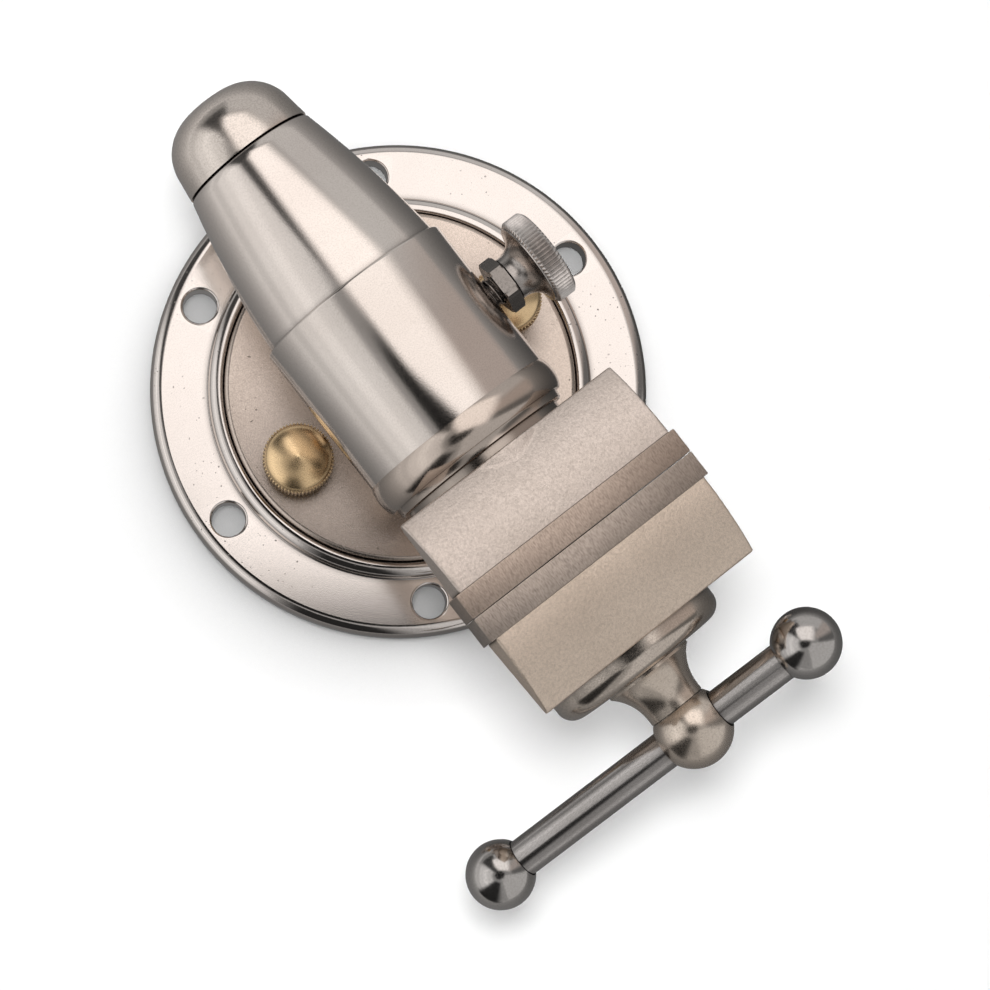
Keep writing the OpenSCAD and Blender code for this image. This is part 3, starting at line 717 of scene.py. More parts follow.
def pit_mask(tree):
    """One in small scattered pits, gathered in patches, and zero elsewhere."""
    spots = remap(tree, noise(tree, PIT_SCALE, 1, PIT_ROUGH), *PIT_SPAN, 0, 1)
    patch = remap(tree, noise(tree, PATCH_SCALE, 1), *PATCH_SPAN, 0, 1)
    return calculate(tree, "MULTIPLY", spots, patch)


def sand_cast(name, colour, dark):
    """Plated casting: coarse sand grain under the plating, with fine grit and painted shade in its seams."""
    material, tree = new_material(name)
    coarse = noise(tree, SAND_SCALE, 3, SAND_ROUGH)
    fine = noise(tree, GRIT_SCALE, 4, GRIT_ROUGH)
    tone = drifting(tree, colour, dark, CAST_DRIFT)
    tone = speckled(tree, tone, coarse, SAND_SPAN, SAND_SHARE, shaded(dark, SAND_LEVEL))
    tone = speckled(tree, tone, fine, SPECK_SPAN, GRIT_SHARE, shaded(dark, GRIT_LEVEL))
    # painted shade in the seams and corners, by ambient occlusion
    painted_seam_shade = paint_hollow_shade(tree, tone, colour, CAST_PAINTED_SHADE_REACH, CAST_PAINTED_SHADE_DEPTH)
    gloss = remap(tree, coarse, *GLOSS_SPAN, *CAST_ROUGHNESS)
    normal = bump(tree, fine, GRIT_RELIEF, Normal=bump(tree, coarse, SAND_RELIEF))
    put_out(tree, painted_seam_shade, gloss, normal)
    return material


# Each metal: name, colour, darker colour, roughness and its spread, grain scale and relief in millimetres
SATIN = metal("satin_nickel", (0.77, 0.70, 0.645), (0.71, 0.635, 0.58), 0.125, 0.03, 3800, 0.007, speck=0.3)
# A lighter copy of the satin nickel, for the cone only: painted light, since the cone has the barrel's
# plating
LIT_CONE_NICKEL = metal("cone_nickel_lit_copy", (0.84, 0.765, 0.705), (0.78, 0.70, 0.645), 0.135, 0.03, 3800, 0.007, speck=0.3)
NOSE = metal("nose_nickel", (0.79, 0.71, 0.645), (0.72, 0.64, 0.575), 0.19, 0.05, 2600, 0.010, speck=0.4)
# Painted shade reaching 6 mm darkens the polished collar and thrust ring next to the barrel and the jaw
POLISHED = metal("polished_nickel", (0.65, 0.56, 0.49), (0.54, 0.455, 0.395), 0.17, 0.05, 3000, 0.004,
                 speck=0.2, reach=6, depth=0.5)
BOSS = metal("boss_nickel", (0.74, 0.65, 0.57), (0.66, 0.57, 0.49), 0.18, 0.05, 2600, 0.008, speck=0.5)
SPINDLE = metal("spindle_nickel", (0.82, 0.715, 0.62), (0.68, 0.58, 0.49), 0.24, 0.06, 2600, 0.008, speck=0.4)
FLANGE = metal("flange_nickel", (0.83, 0.765, 0.72), (0.78, 0.715, 0.67), 0.10, 0.03, 4800, 0.004, pits=True)
# Painted shadow reaching 24 mm darkens the disc around the pedestal, the thumb screws and the barrel
DISC = metal("disc_nickel", (0.77, 0.655, 0.575), (0.68, 0.57, 0.49), 0.24, 0.05, 4600, 0.008,
             speck=0.6, pits=True, reach=24, depth=0.42)
CAST = sand_cast("cast_nickel", (0.82, 0.715, 0.645), (0.74, 0.64, 0.565))
FRONT_CAST = sand_cast("front_cast_nickel", (0.90, 0.75, 0.62), (0.81, 0.67, 0.55))
PLATE = metal("ground_steel", (0.53, 0.425, 0.355), (0.43, 0.34, 0.28), 0.34, 0.08, 2100, 0.022,
              stretch=(3, 0.6, 3), speck=0.85)
FRONT_PLATE = metal("front_ground_steel", (0.50, 0.42, 0.365), (0.41, 0.345, 0.295), 0.34, 0.08, 2100, 0.022,
                    stretch=(3, 0.5, 3), speck=0.9)
BRIGHT = metal("bright_steel", (0.57, 0.54, 0.515), (0.51, 0.48, 0.455), 0.15, 0.05, 2600, 0.003)
BAR = metal("bar_steel", (0.50, 0.47, 0.45), (0.42, 0.39, 0.37), 0.17, 0.04, 2600, 0.004,
            stretch=(0.5, 2, 2), speck=0.4)
NUT = metal("nut_steel", (0.31, 0.28, 0.26), (0.25, 0.225, 0.205), 0.25, 0.06, 2600, 0.006, speck=0.4)
DARK = metal("dark_steel", (0.50, 0.46, 0.43), (0.42, 0.38, 0.355), 0.25, 0.06, 2600, 0.006, speck=0.4)
KNURL = metal("knurled_steel", (0.80, 0.75, 0.715), (0.71, 0.66, 0.625), 0.34, 0.06, 2600, 0.008, speck=0.4)
HIDDEN = metal("hidden_steel", (0.52, 0.51, 0.50), (0.46, 0.45, 0.44), 0.34, 0.06, 2600, 0.004)
# Painted shade reaching 9 mm darkens the brass where it stands near the disc and the barrel
BRASS = metal("brass", (1.0, 0.73, 0.43), (0.90, 0.63, 0.345), 0.27, 0.05, 3400, 0.004,
              speck=0.15, reach=9, depth=0.2)


# Base


def build_base_ring():
    """The flange with its bead, ledge and screw holes."""
    seat_r = DISC_R + SEAT_GAP
    outline = rounded([
        (HOLLOW_R, 0, EDGE_FINE), (FLANGE_R, 0, EDGE_SOFT), (FLANGE_R, FLANGE_T, FLANGE_ROUND),
        (RIM_R, FLANGE_T, RIM_FOOT_ROUND), (RIM_R, RIM_TOP, RIM_ROUND), (seat_r, RIM_TOP, RIM_INNER_ROUND),
        (seat_r, FLANGE_T), (LEDGE_R, FLANGE_T, EDGE_FINE), (LEDGE_R, LEDGE_BOTTOM, EDGE_FINE),
        (HOLLOW_R, LEDGE_BOTTOM),
    ], count=10)
    ring = lathe("base_ring_turned", outline, UPRIGHT, DISC_STEPS)
    lip_r = HOLE_R + HOLE_LIP
    lip = arc(lip_r, FLANGE_T - HOLE_LIP, HOLE_LIP, 180, 90, 6)
    above = FLANGE_T + OVERRUN
    cutter = [(0, -OVERRUN), (HOLE_R, -OVERRUN)] + lip + [(lip_r, above), (0, above)]
    holes = []
    for i in range(HOLE_COUNT):
        turn = Matrix.Rotation(2 * math.pi * i / HOLE_COUNT, 4, "Z")
        place = turn @ Matrix.Translation((HOLE_CIRCLE_R, 0, 0))
        holes.append(lathe("hole", cutter, place, HOLE_STEPS))
    combine(ring, join("holes", holes), "DIFFERENCE")
    finish_piece(resharpen(ring, True), FLANGE, "base", "polished_nickel", "base_ring")


def build_turntable():
    """The disc that swivels in the base, with its hub below."""
    under = FLANGE_T + SEAT_GAP
    outline = rounded([
        (SPIGOT_R, HUB_BOTTOM), (HUB_R, HUB_BOTTOM, EDGE_SOFT), (HUB_R, under),
        (DISC_R, under, EDGE_FINE), (DISC_R, DISC_TOP, DISC_ROUND), (SPIGOT_R, DISC_TOP),
    ], count=8)
    disc = lathe("turntable_disc", outline, UPRIGHT, DISC_STEPS)
    finish_piece(disc, DISC, "swivel", "satin_nickel", "turntable")


def toothed_edge(r, d, way, edge, tooth):
    """Rings of a toothed edge, from its table of steps inward and along and shares of the tooth."""
    return [(r - inward, d + way * along, tooth * share) for inward, along, share in edge]


def thumb_head_rings(head_from):
    """Rings of a thumb screw's head: a toothed band, then a dome with a slight peak."""
    band_top = head_from + THUMB_BAND_H
    dome_h = THUMB_TOP - band_top
    rings = toothed_edge(THUMB_R, head_from, 1, THUMB_FOOT, THUMB_TOOTH)
    rings += toothed_edge(THUMB_R, band_top, 1, THUMB_SHOULDER, THUMB_TOOTH)
    crown = THUMB_R - THUMB_TOOTH - DOME_INSET
    for i in range(1, DOME_RINGS):
        share = i / DOME_RINGS
        r = crown * math.cos(share * math.pi / 2)
        rise = (1 - DOME_PEAK) * math.sin(share * math.pi / 2) + DOME_PEAK * share
        rings.append((r, band_top + DOME_STEP + (dome_h - DOME_STEP) * rise, 0.0))
    rings.append((DOME_TIP_R, THUMB_TOP, 0.0))
    return rings


def build_thumb_screw(side, body, node):
    """A brass thumb screw and the washer that stays on the turntable."""
    place = Matrix.Translation((side * THUMB_X, 0, 0))
    head_from = WASHER_TOP + THUMB_NECK_H
    head = toothed_lathe(node + "_head", thumb_head_rings(head_from), THUMB_TEETH, place)
    finish_piece(head, BRASS, body, "brass", node)
    bottom = node_span(node, 2)[0]
    seat = WASHER_TOP + THUMB_SEAT_GAP
    inside = head_from + THUMB_NECK_SINK
    shank = rounded([
        (0, bottom), (THUMB_SHANK_R, bottom, EDGE_SOFT), (THUMB_SHANK_R, seat),
        (THUMB_NECK_R, seat, WASHER_ROUND), (THUMB_NECK_R, head_from - THUMB_NECK_TAPER_H, EDGE_SOFT),
        (THUMB_NECK_R - THUMB_NECK_TAPER, inside), (0, inside),
    ])
    stem = lathe(node + "_shank", shank, place, ROD_STEPS)
    finish_piece(stem, BRASS, body, "brass", node)
    bore_r = THUMB_SHANK_R + WASHER_GAP
    ring = ring_outline(bore_r, WASHER_R, DISC_TOP, WASHER_TOP, EDGE_FINE, WASHER_ROUND)
    washer = lathe(node + "_washer", ring, place, ROD_STEPS)
    finish_piece(washer, BRASS, "swivel", "brass", "thumb_washers")


# Pedestal and barrel


def build_barrel():
    """The bearing barrel and its pedestal, one casting."""
    outline = ring_outline(0, BARREL_R, BARREL_FRONT, BARREL_REAR, BARREL_ROUND, BARREL_ROUND)
    barrel = lathe("bearing_barrel_cast", outline, BARREL, FINE_STEPS)
    curve = FOOT_R - WAIST_R
    foot_top = DISC_TOP + FOOT_EDGE
    neck = rounded([(0, DISC_TOP), (FOOT_R, DISC_TOP, EDGE_FINE), (FOOT_R, foot_top, EDGE_SOFT)])
    neck += [(FOOT_R - FOOT_STEP, foot_top)] + arc(FOOT_R, foot_top + curve, curve, 265, 180, 14)
    neck += [(WAIST_R, AXIS_H - NECK_SINK), (0, AXIS_H - NECK_SINK)]
    combine(barrel, lathe("pedestal", neck, UPRIGHT, BALL_STEPS), "UNION")
    bore = rod("bore", BEARING_R, BARREL_FRONT - CUT_PAST, BARREL_REAR + CUT_PAST, BARREL, BALL_STEPS)
    combine(barrel, bore, "DIFFERENCE")
    tapping = rod("tapping", LOCK_THREAD_R + SEAT_GAP, WAIST_R, BARREL_R + CUT_PAST, LOCK, THREAD_STEPS)
    combine(barrel, tapping, "DIFFERENCE")
    finish_piece(resharpen(barrel), SATIN, "swivel", "satin_nickel", "bearing_barrel")


# Head lock screw


def build_lock_screw():
    """The head lock screw: its thread, its knurled head with a shallow dish, and its flared neck."""
    head_from = LOCK_END - LOCK_HEAD_T
    neck_from = head_from - LOCK_NECK_LEN
    thread_to = neck_from + THREAD_SINK
    thread = screw_thread(
        "lock_screw_thread", LOCK_THREAD_R, LOCK_THREAD_DEPTH, LOCK_PITCH, LOCK_TIP, thread_to, LOCK)
    finish_piece(thread, DARK, "lock", "dark_steel", "lock_screw")
    rings = [(LOCK_FLARE_R - EDGE_SOFT, head_from, 0.0)]
    rings += toothed_edge(LOCK_R, head_from, 1, LOCK_EDGE, LOCK_TOOTH)
    rings += toothed_edge(LOCK_R, LOCK_END, -1, LOCK_EDGE[::-1], LOCK_TOOTH)
    rings += toothed_edge(LOCK_R, LOCK_END, -1, LOCK_DISH, 0.0)
    head = toothed_lathe("lock_screw_head", rings, LOCK_TEETH, LOCK)
    finish_piece(head, KNURL, "lock", "dark_steel", "lock_screw")
    drop = LOCK_FLARE_R - LOCK_NECK_R
    inside = head_from + LOCK_NECK_SINK
    flare = [(0, neck_from)] + edge_points(LOCK_NECK_R, neck_from, SMALL_BEVEL)
    flare += arc(LOCK_FLARE_R, head_from - LOCK_FLARE_RIM - drop, drop, 180, 90, 16)
    flare += [(LOCK_FLARE_R, inside), (0, inside)]
    neck = lathe("lock_screw_neck", flare, LOCK, TUBE_STEPS)
    finish_piece(neck, DARK, "lock", "dark_steel", "lock_screw")


def build_jam_nut():
    """The hexagon nut with turned-down corners on the lock screw."""
    steps = ROD_STEPS
    corner = JAM_FLATS / 2 / math.cos(math.pi / 6)
    low = corner - JAM_BEVEL
    bands = [(JAM_FROM, low), (JAM_FROM + JAM_BEVEL_H, corner), (JAM_TO - JAM_BEVEL_H, corner), (JAM_TO, low)]
    verts = []
    for d, cap in bands:
        for k in range(steps):
            side = (2 * math.pi * k / steps + math.pi / 6) % (math.pi / 3) - math.pi / 6
            verts.append(turn_point(min(JAM_FLATS / 2 / math.cos(side), cap), k, steps, d))
    for d in (JAM_TO, JAM_FROM):
        verts += [turn_point(LOCK_THREAD_R + SEAT_GAP, k, steps, d) for k in range(steps)]
    faces = strip_faces(len(verts) // steps, steps, True)
    nut = make_object("jam_nut_hex", verts, faces, LOCK, NUT_SHARP)
    finish_piece(nut, NUT, "lock", "dark_steel", "jam_nut")


# Head


def build_collar():
    """The polished collar: a bead, a seam and a plain band that runs into the jaw."""
    start = -THRUST_FRONT + SEAT_GAP
    end = start + COLLAR_LEN
    bead_end = start + COLLAR_BEAD
    inside = -PLATE_SEAT - JAW_LEN + OVERRUN
    neck = COLLAR_R - COLLAR_CREST
    body = [(TUBE_R, start), (neck, start)]
    for i in range(BEAD_RINGS + 1):
        along = COLLAR_BEAD * i / BEAD_RINGS
        share = (along - COLLAR_BEAD * BEAD_MIDDLE_SHARE) / (COLLAR_BEAD * BEAD_HALF_SHARE)
        body.append((COLLAR_R - COLLAR_CREST * (1 - math.sqrt(max(0.0, 1 - share ** 2))), start + along))
    body += edge_points(neck, bead_end, COLLAR_SEAM) + edge_points(neck, end, COLLAR_EDGE)
    body += [(GROOVE_R, end), (GROOVE_R, inside), (TUBE_BORE_R, inside), (TUBE_BORE_R, start)]
    collar = lathe("head_collar", body, HEAD_JAWS, FINE_STEPS)
    finish_piece(collar, POLISHED, "head", "polished_nickel", "fixed_jaw")


def build_head_tube():
    """The tube that turns in the barrel, threaded at its rear, and the thrust ring in front of it."""
    front = THRUST_FRONT - SEAT_GAP - TUBE_SINK
    thread_from = BARREL_REAR - TUBE_STEP
    outline = rounded([
        (TUBE_BORE_R, front), (TUBE_R, front), (TUBE_R, thread_from), (TUBE_THREAD_R, thread_from),
        (TUBE_THREAD_R, TUBE_END, TUBE_END_ROUND), (NUT_R, TUBE_END), (NUT_R, BARREL_REAR),
        (TUBE_BORE_R, BARREL_REAR),
    ])
    tube = lathe("head_tube", outline, HEAD_TAIL, TUBE_STEPS)
    finish_piece(tube, BRIGHT, "head", "bright_steel", "fixed_jaw")
    inner, outer = TUBE_R + RING_GAP, BARREL_R - RING_INSET
    outline = ring_outline(inner, outer, THRUST_FRONT, THRUST_REAR, RING_ROUND, RING_ROUND)
    ring = lathe("thrust_ring", outline, HEAD_TAIL, FINE_STEPS)
    finish_piece(ring, POLISHED, "head", "polished_nickel", "thrust_washer")


def build_tail_cone():
    """The slightly swelling cone behind the barrel."""
    length = CONE_END - CONE_START
    fall = CONE_FRONT_R - CONE_REAR_R
    thread_r = TUBE_THREAD_R + SCREWED_GAP
    bottom = TUBE_END + CONE_BOTTOM_GAP
    outline = [(thread_r, CONE_START)] + edge_points(CONE_FRONT_R, CONE_START, CONE_FRONT_EDGE)
    for i in range(CONE_RINGS + 1):
        share = i / CONE_RINGS
        along = CONE_FRONT_FLAT + (length - CONE_FRONT_FLAT - CONE_REAR_FLAT) * share
        swell = CONE_SWELL * 4 * share * (1 - share)
        outline.append((CONE_FRONT_R - fall * along / length + swell, CONE_START + along))
    outline += edge_points(CONE_REAR_R, CONE_END, CONE_REAR_EDGE)
    outline += [(CONE_BORE_R, CONE_END), (CONE_BORE_R, bottom), (thread_r, bottom)]
    cone = lathe("tail_cone_turned", outline, HEAD_TAIL, FINE_STEPS)
    finish_piece(cone, LIT_CONE_NICKEL, "head", "satin_nickel", "tail_cone")


def build_nose_cap():
    """The cap behind the cone, its side tapered into a round end, and its hidden spigot."""
    start = CONE_END + NOSE_GAP
    lean = math.radians(NOSE_TAPER)
    round_at = NOSE_END - NOSE_ROUND
    shoulder = CONE_REAR_R - (NOSE_ROUND + math.sin(lean) * (round_at - start)) / math.cos(lean)
    side = (CONE_REAR_R - math.tan(lean) * NOSE_EDGE_H, start + NOSE_EDGE_H)
    outline = [(0, start)] + edge_points(CONE_REAR_R, start, NOSE_EDGE) + [side]
    outline += arc(shoulder, round_at, NOSE_ROUND, NOSE_TAPER, 90, 36) + [(0, NOSE_END)]
    cap = lathe("nose_cap_turned", outline, HEAD_TAIL, FINE_STEPS)
    finish_piece(cap, NOSE, "head", "satin_nickel", "nose_cap")
    r = CONE_BORE_R - SCREWED_GAP
    spigot = rod("nose_spigot", r, start + OVERRUN, start - NOSE_SPIGOT_LEN, HEAD_TAIL, ROD_STEPS)
    finish_piece(spigot, SATIN, "head", "satin_nickel", "nose_cap")


def build_jaw(name, place, body, node, look):
    """A jaw casting: the CAD solid from its step under the plate to its outer edge, with softened edges."""
    mesh = frame["nodes"][node].data.copy()
    mesh.transform(Matrix.Scale(1 / MM, 4))
    mesh.transform(place.inverted())
    mend(mesh, WELD)
    mesh.transform(Matrix.Scale(MM, 4))
    jaw = link_object(name, mesh)
    front, half = -PLATE_T - KEEP_PAST, KEEP_HALF_H
    keep = [(front, -half), (front, half), (JAW_LEN, half), (JAW_LEN, -half)]
    combine(jaw, prism("keep", keep, -JAW_W, JAW_W, UPRIGHT), "INTERSECT")
    grain = jaw.modifiers.new("grain", "REMESH")
    grain.mode = "VOXEL"
    grain.voxel_size = CAST_VOXEL * MM
    soften = jaw.modifiers.new("soften", "SMOOTH")
    soften.factor = 0.5
    soften.iterations = CAST_SOFTEN
    apply_modifiers(jaw)
    jaw.data.transform(Matrix.Translation(place.translation * MM) @ place.to_3x3().to_4x4())
    jaw.data.shade_smooth()
    finish_piece(jaw, look, body, "cast_nickel", node)


def build_plate(name, place, body, node, look):
    """A ground steel jaw plate with two countersunk holes and softened edges."""
    low = JAW_TOP - PLATE_H + PLATE_PROUD
    high = low + PLATE_H
    outline = [(-PLATE_T, low), (-PLATE_T, high), (0, high), (0, low)]
    plate = prism(name, outline, -PLATE_W / 2, PLATE_W / 2, place)
    sink = SCREW_HEAD_R - SCREW_R - PLATE_T
    above = -PLATE_T - OVERRUN
    cutter = [(0, above), (SCREW_HEAD_R + OVERRUN, above), (SCREW_R, sink), (SCREW_R, OVERRUN), (0, OVERRUN)]
    for side in (-1, 1):
        at = place @ Matrix.Translation((side * SCREW_X, 0, low + PLATE_H / 2)) @ TO_TAIL
        combine(plate, lathe("hole", cutter, at, SCREW_HOLE_STEPS), "DIFFERENCE")
    finish_piece(bevel(plate, PLATE_BEVEL), look, body, "ground_steel", node)


def build_boss():
    """The polished round front of the moving jaw."""
    start = -MOVING_SEAT + JAW_LEN - KEEP_PAST
    bore_r = SPINDLE_R + SEAT_GAP
    outline = rounded([
        (bore_r, start), (MOVING_CORE_R, start), (MOVING_CORE_R, BOSS_FACE, BOSS_ROUND), (bore_r, BOSS_FACE),
    ], count=16)
    boss = lathe("moving_jaw_boss", outline, HEAD_JAWS, FINE_STEPS)
    finish_piece(boss, BOSS, "moving", "polished_nickel", "moving_jaw")


# Spindle and handle


def spindle_outline():
    """The spindle's rod, flared shoulder, hollow neck, step line and ball."""
    face = BOSS_FACE + SEAT_GAP
    neck_y = face + NECK_FROM
    drop = FLARE_R - NECK_R
    reach = neck_y - face - FLARE_RIM
    curve = (reach ** 2 + drop ** 2) / (2 * drop)
    sweep = math.degrees(math.asin(reach / curve))
    tail = -SPINDLE_TAIL
    outline = [(0, tail), (SPINDLE_R - SPINDLE_BEVEL, tail), (SPINDLE_R, tail + SPINDLE_BEVEL)]
    outline += [(SPINDLE_R, face)] + edge_points(FLARE_R, face, SMALL_BEVEL)
    outline += [(FLARE_R, face + FLARE_RIM - FLARE_STEP)]
    outline += arc(NECK_R + curve, neck_y, curve, 180 + sweep, 180, 18)
    meet = math.degrees(math.asin(NECK_R / BALL_R))
    step_y = BALL_Y - BALL_R * math.cos(math.radians(meet))
    outline += edge_points(NECK_R, step_y, NECK_GROOVE)
    outline += arc(0, BALL_Y, BALL_R, meet - 90, 90, 44)[:-1] + [(0, BALL_Y + BALL_R)]
    return outline


def build_spindle():
    """The spindle with the handle's hole, its lips softened, through the ball."""
    spindle = lathe("spindle_turned", spindle_outline(), SPIN_JAWS, SPINDLE_STEPS)
    eye = SPIN @ Matrix.Translation((0, -BALL_Y, 0)) @ TO_RIGHT
    rim = math.sqrt(BALL_R ** 2 - EYE_R ** 2)
    half = edge_points(EYE_R, rim, EYE_EDGE) + [(EYE_R + EYE_FLARE, EYE_REACH), (0, EYE_REACH)]
    cutter = [(r, -d) for r, d in half[::-1]] + half
    combine(spindle, lathe("eye", cutter, eye, ROD_STEPS), "DIFFERENCE")
    finish_piece(resharpen(spindle), SPINDLE, "screw", "polished_nickel", "spindle")


def build_handle():
    """The handle bar and its two balls, placed where the CAD's balls are."""
    place = SPIN @ Matrix.Translation((0, -BALL_Y, 0)) @ TO_RIGHT
    spread = [(place.inverted() @ (v.co / MM)).z for v in frame["nodes"]["handle_balls"].data.vertices]
    near = max(spread) - KNOB_R
    far = min(spread) + KNOB_R
    bar = rod("handle_bar_turned", BAR_R, far, near, place, TUBE_STEPS)
    finish_piece(bar, BAR, "handle", "bright_steel", "handle_bar")
    seat = math.asin((BAR_R + KNOB_SEAT) / KNOB_R)
    outline = [(0, -KNOB_R)] + arc(0, 0, KNOB_R, -90, 90 - math.degrees(seat), 48)[1:]
    outline += [(BAR_R + KNOB_LIP, KNOB_R * math.cos(seat) - KNOB_LIP_H), (BAR_R - KNOB_SINK, KNOB_FLOOR)]
    outline += [(0, KNOB_FLOOR)]
    for name, at, way in (("near", near, -1), ("far", far, 1)):
        placed = [(r, at + way * d) for r, d in outline]
        ball = lathe("handle_ball_" + name, placed, place, BALL_STEPS)
        finish_piece(ball, BRIGHT, "handle", "bright_steel", "handle_balls")


# Studio and camera


# The camera's place: a near-overhead view, leaning to the lock screw's far side
CAM_TARGET = Vector((0.28, -29.14, 20.0))
CAM_AZIMUTH = math.radians(-73.69)
CAM_ELEVATION = math.radians(83.14)
CAM_ROLL = math.radians(35.85)
CAM_DISTANCE = 650.0
CAM_LENS = 120.4
CAM_SENSOR = 36.0
CAM_CLIP = 0.01


def camera_axes():
    """The studio's axes: across and over, as the photograph is held, and back to the camera."""
    back = Vector((
        math.sin(CAM_AZIMUTH) * math.cos(CAM_ELEVATION),
        -math.cos(CAM_AZIMUTH) * math.cos(CAM_ELEVATION),
        math.sin(CAM_ELEVATION),
    ))
    right = Vector((0, 0, 1)).cross(back).normalized()
    up = back.cross(right)
    across = right * math.cos(CAM_ROLL) + up * math.sin(CAM_ROLL)
    over = up * math.cos(CAM_ROLL) - right * math.sin(CAM_ROLL)
    return across, over, back


ACROSS, OVER, BACK = camera_axes()


def build_camera():
    """The photograph's near-overhead view."""
    data = bpy.data.cameras.new("camera")
    data.lens = CAM_LENS
    data.sensor_width = CAM_SENSOR
    data.sensor_fit = "HORIZONTAL"
    data.clip_start = CAM_CLIP
    camera = link_object("camera", data)
    turn = Matrix((ACROSS, OVER, BACK)).transposed().to_4x4()
    camera.matrix_world = Matrix.Translation((CAM_TARGET + BACK * CAM_DISTANCE) * MM) @ turn
    bpy.context.scene.camera = camera


# The surround and the floor: radii and sizes in millimetres
PANEL_R = 1500.0
PANEL_STEP = 6
TENT_R = 1700.0
WORLD_LEVEL = 0.18
FLOOR_HALF = 3000.0
FLOOR_GAP = 0.04
FLOOR_DIFFUSE = 0.62
FLOOR_GLOW = 0.41

# The painted contact shadow on the floor: how far it reaches, how deep it is, and the turn and tilt that it
# leans from
FLOOR_REACH = 16.0
FLOOR_SHADE = 0.80
FLOOR_LEAN = (66, 42)
FLOOR_SAMPLES = 12

# Rings of the mirrored ground: radius and level, and how it pales towards one side
TABLE_RINGS = ((50, 0.13), (90, 0.19), (160, 0.29), (320, 0.41), (700, 0.50), (1800, 0.52))
TABLE_SWING = 0.50
TABLE_TOWARD = 142.0
TABLE_SPOKES = 48

# The top softbox: its full part, its faded edge and its height over the target
SOFTBOX_INNER = [(-34, 40), (104, 40), (125, 330), (-175, 330), (-152, 228), (-84, 106)]
SOFTBOX_OUTER = [(-50, 18), (176, 12), (265, 430), (-285, 430), (-200, 238), (-114, 76)]
SOFTBOX_H = 285.0

# The camera and its stand: the turn and tilt of each corner, and half the width of the faded edge
CAMERA_EDGE = (
    (230, 19), (186, 19), (150, 15), (120, 13), (60, 13), (20, 13), (340, 12), (300, 12), (260, 15),
)
CAMERA_FADE = 15.0

# How an upright card fades above and beside its full part, as shares of its height and half width
SCREEN_FADE_TOP = 1.25
SCREEN_FADE_SIDES = ((-1.3, 0.0), (-0.75, 1.0), (0.75, 1.0), (1.3, 0.0))

WARM = (1.0, 0.97, 0.955)
TAUPE = (1.0, 0.90, 0.85)


def studio_direction(turn, tilt):
    """Direction at a turn about the camera's line of sight and a tilt away from it, in degrees."""
    t, r = math.radians(turn), math.radians(tilt)
    return BACK * math.cos(r) + (ACROSS * math.cos(t) + OVER * math.sin(t)) * math.sin(r)


def glow_material(name, tint):
    """A glow that takes its level and its cover from the card's points."""
    material, tree = new_material(name)
    level = add_node(tree, "Attribute", {})
    level.attribute_name = "level"
    cover = add_node(tree, "Attribute", {})
    cover.attribute_name = "cover"
    clear = add_node(tree, "BsdfTransparent", {})
    glow = add_node(tree, "Emission", {"Color": (*tint, 1), "Strength": level.outputs["Fac"]})
    mix = add_node(tree, "MixShader", {
        "Fac": cover.outputs["Fac"], 1: clear.outputs["BSDF"], 2: glow.outputs["Emission"],
    })
    add_node(tree, "OutputMaterial", {"Surface": mix.outputs["Shader"]})
    return material


def add_patch(name, points, faces, levels, covers, tint=(1, 1, 1)):
    """A stage card that shows only in reflections, with a level and a cover at each point."""
    card = make_object(name, points, faces, UPRIGHT)
    for label, values in (("level", levels), ("cover", covers)):
        field = card.data.attributes.new(label, "FLOAT", "POINT")
        field.data.foreach_set("value", values)
    card.data.materials.append(glow_material(name, tint))
    card.visible_camera = False
    card.visible_diffuse = False
    card.visible_shadow = False


def faded_places(low, high, fade):
    """Places from low to high with a faded margin at both ends, each with its cover."""
    count = max(2, int((high - low) / PANEL_STEP))
    if fade == 0:
        return [(low + (high - low) * i / count, 1.0) for i in range(count + 1)]
    inner = [low + fade + (high - low - 2 * fade) * i / count for i in range(count + 1)]
    return [(low - fade, 0.0)] + [(place, 1.0) for place in inner] + [(high + fade, 0.0)]


def add_grid(name, rows, columns, place, level, tint=(1, 1, 1)):
    """A card over rows and columns, each a value and a cover, with its points placed by a function."""
    points = [place(row, column) for row, _ in rows for column, _ in columns]
    covers = [min(row_cover, cover) for _, row_cover in rows for _, cover in columns]
    wide = len(columns)
    corners = [i * wide + k for i in range(len(rows) - 1) for k in range(wide - 1)]
    faces = [(a, a + 1, a + wide + 1, a + wide) for a in corners]
    add_patch(name, points, faces, [level] * len(points), covers, tint)


def add_panel(name, turns, tilts, level, tint=(1, 1, 1), fade=3.0, radius=PANEL_R):
    """A curved studio panel between two turns and two tilts, with soft margins."""

    def place(tilt, turn):
        return CAM_TARGET + studio_direction(turn, tilt) * radius

    add_grid(name, faded_places(*tilts, fade), faded_places(*turns, fade), place, level, tint)


def add_card(name, inner, outer, height, level, tint=(1, 1, 1)):
    """A flat card across the line of sight, full inside its inner corners and faded at its outer ones."""
    points = [CAM_TARGET + ACROSS * x + OVER * y + BACK * height for x, y in inner + outer]
    count = len(inner)
    faces = [tuple(range(count))]
    faces += [(k, (k + 1) % count, count + (k + 1) % count, count + k) for k in range(count)]
    add_patch(name, points, faces, [level] * len(points), [1.0] * count + [0.0] * count, tint)


def add_screen(name, x, y, half_width, low, high, level):
    """An upright card that faces the object, its middle in millimetres across and over the target."""
    middle = ACROSS * x + OVER * y
    along = BACK.cross(middle).normalized() * half_width
    heights = ((low, 1.0), (high, 1.0), (high * SCREEN_FADE_TOP, 0.0))

    def place(height, side):
        return CAM_TARGET + middle + BACK * height + along * side

    add_grid(name, heights, SCREEN_FADE_SIDES, place, level)


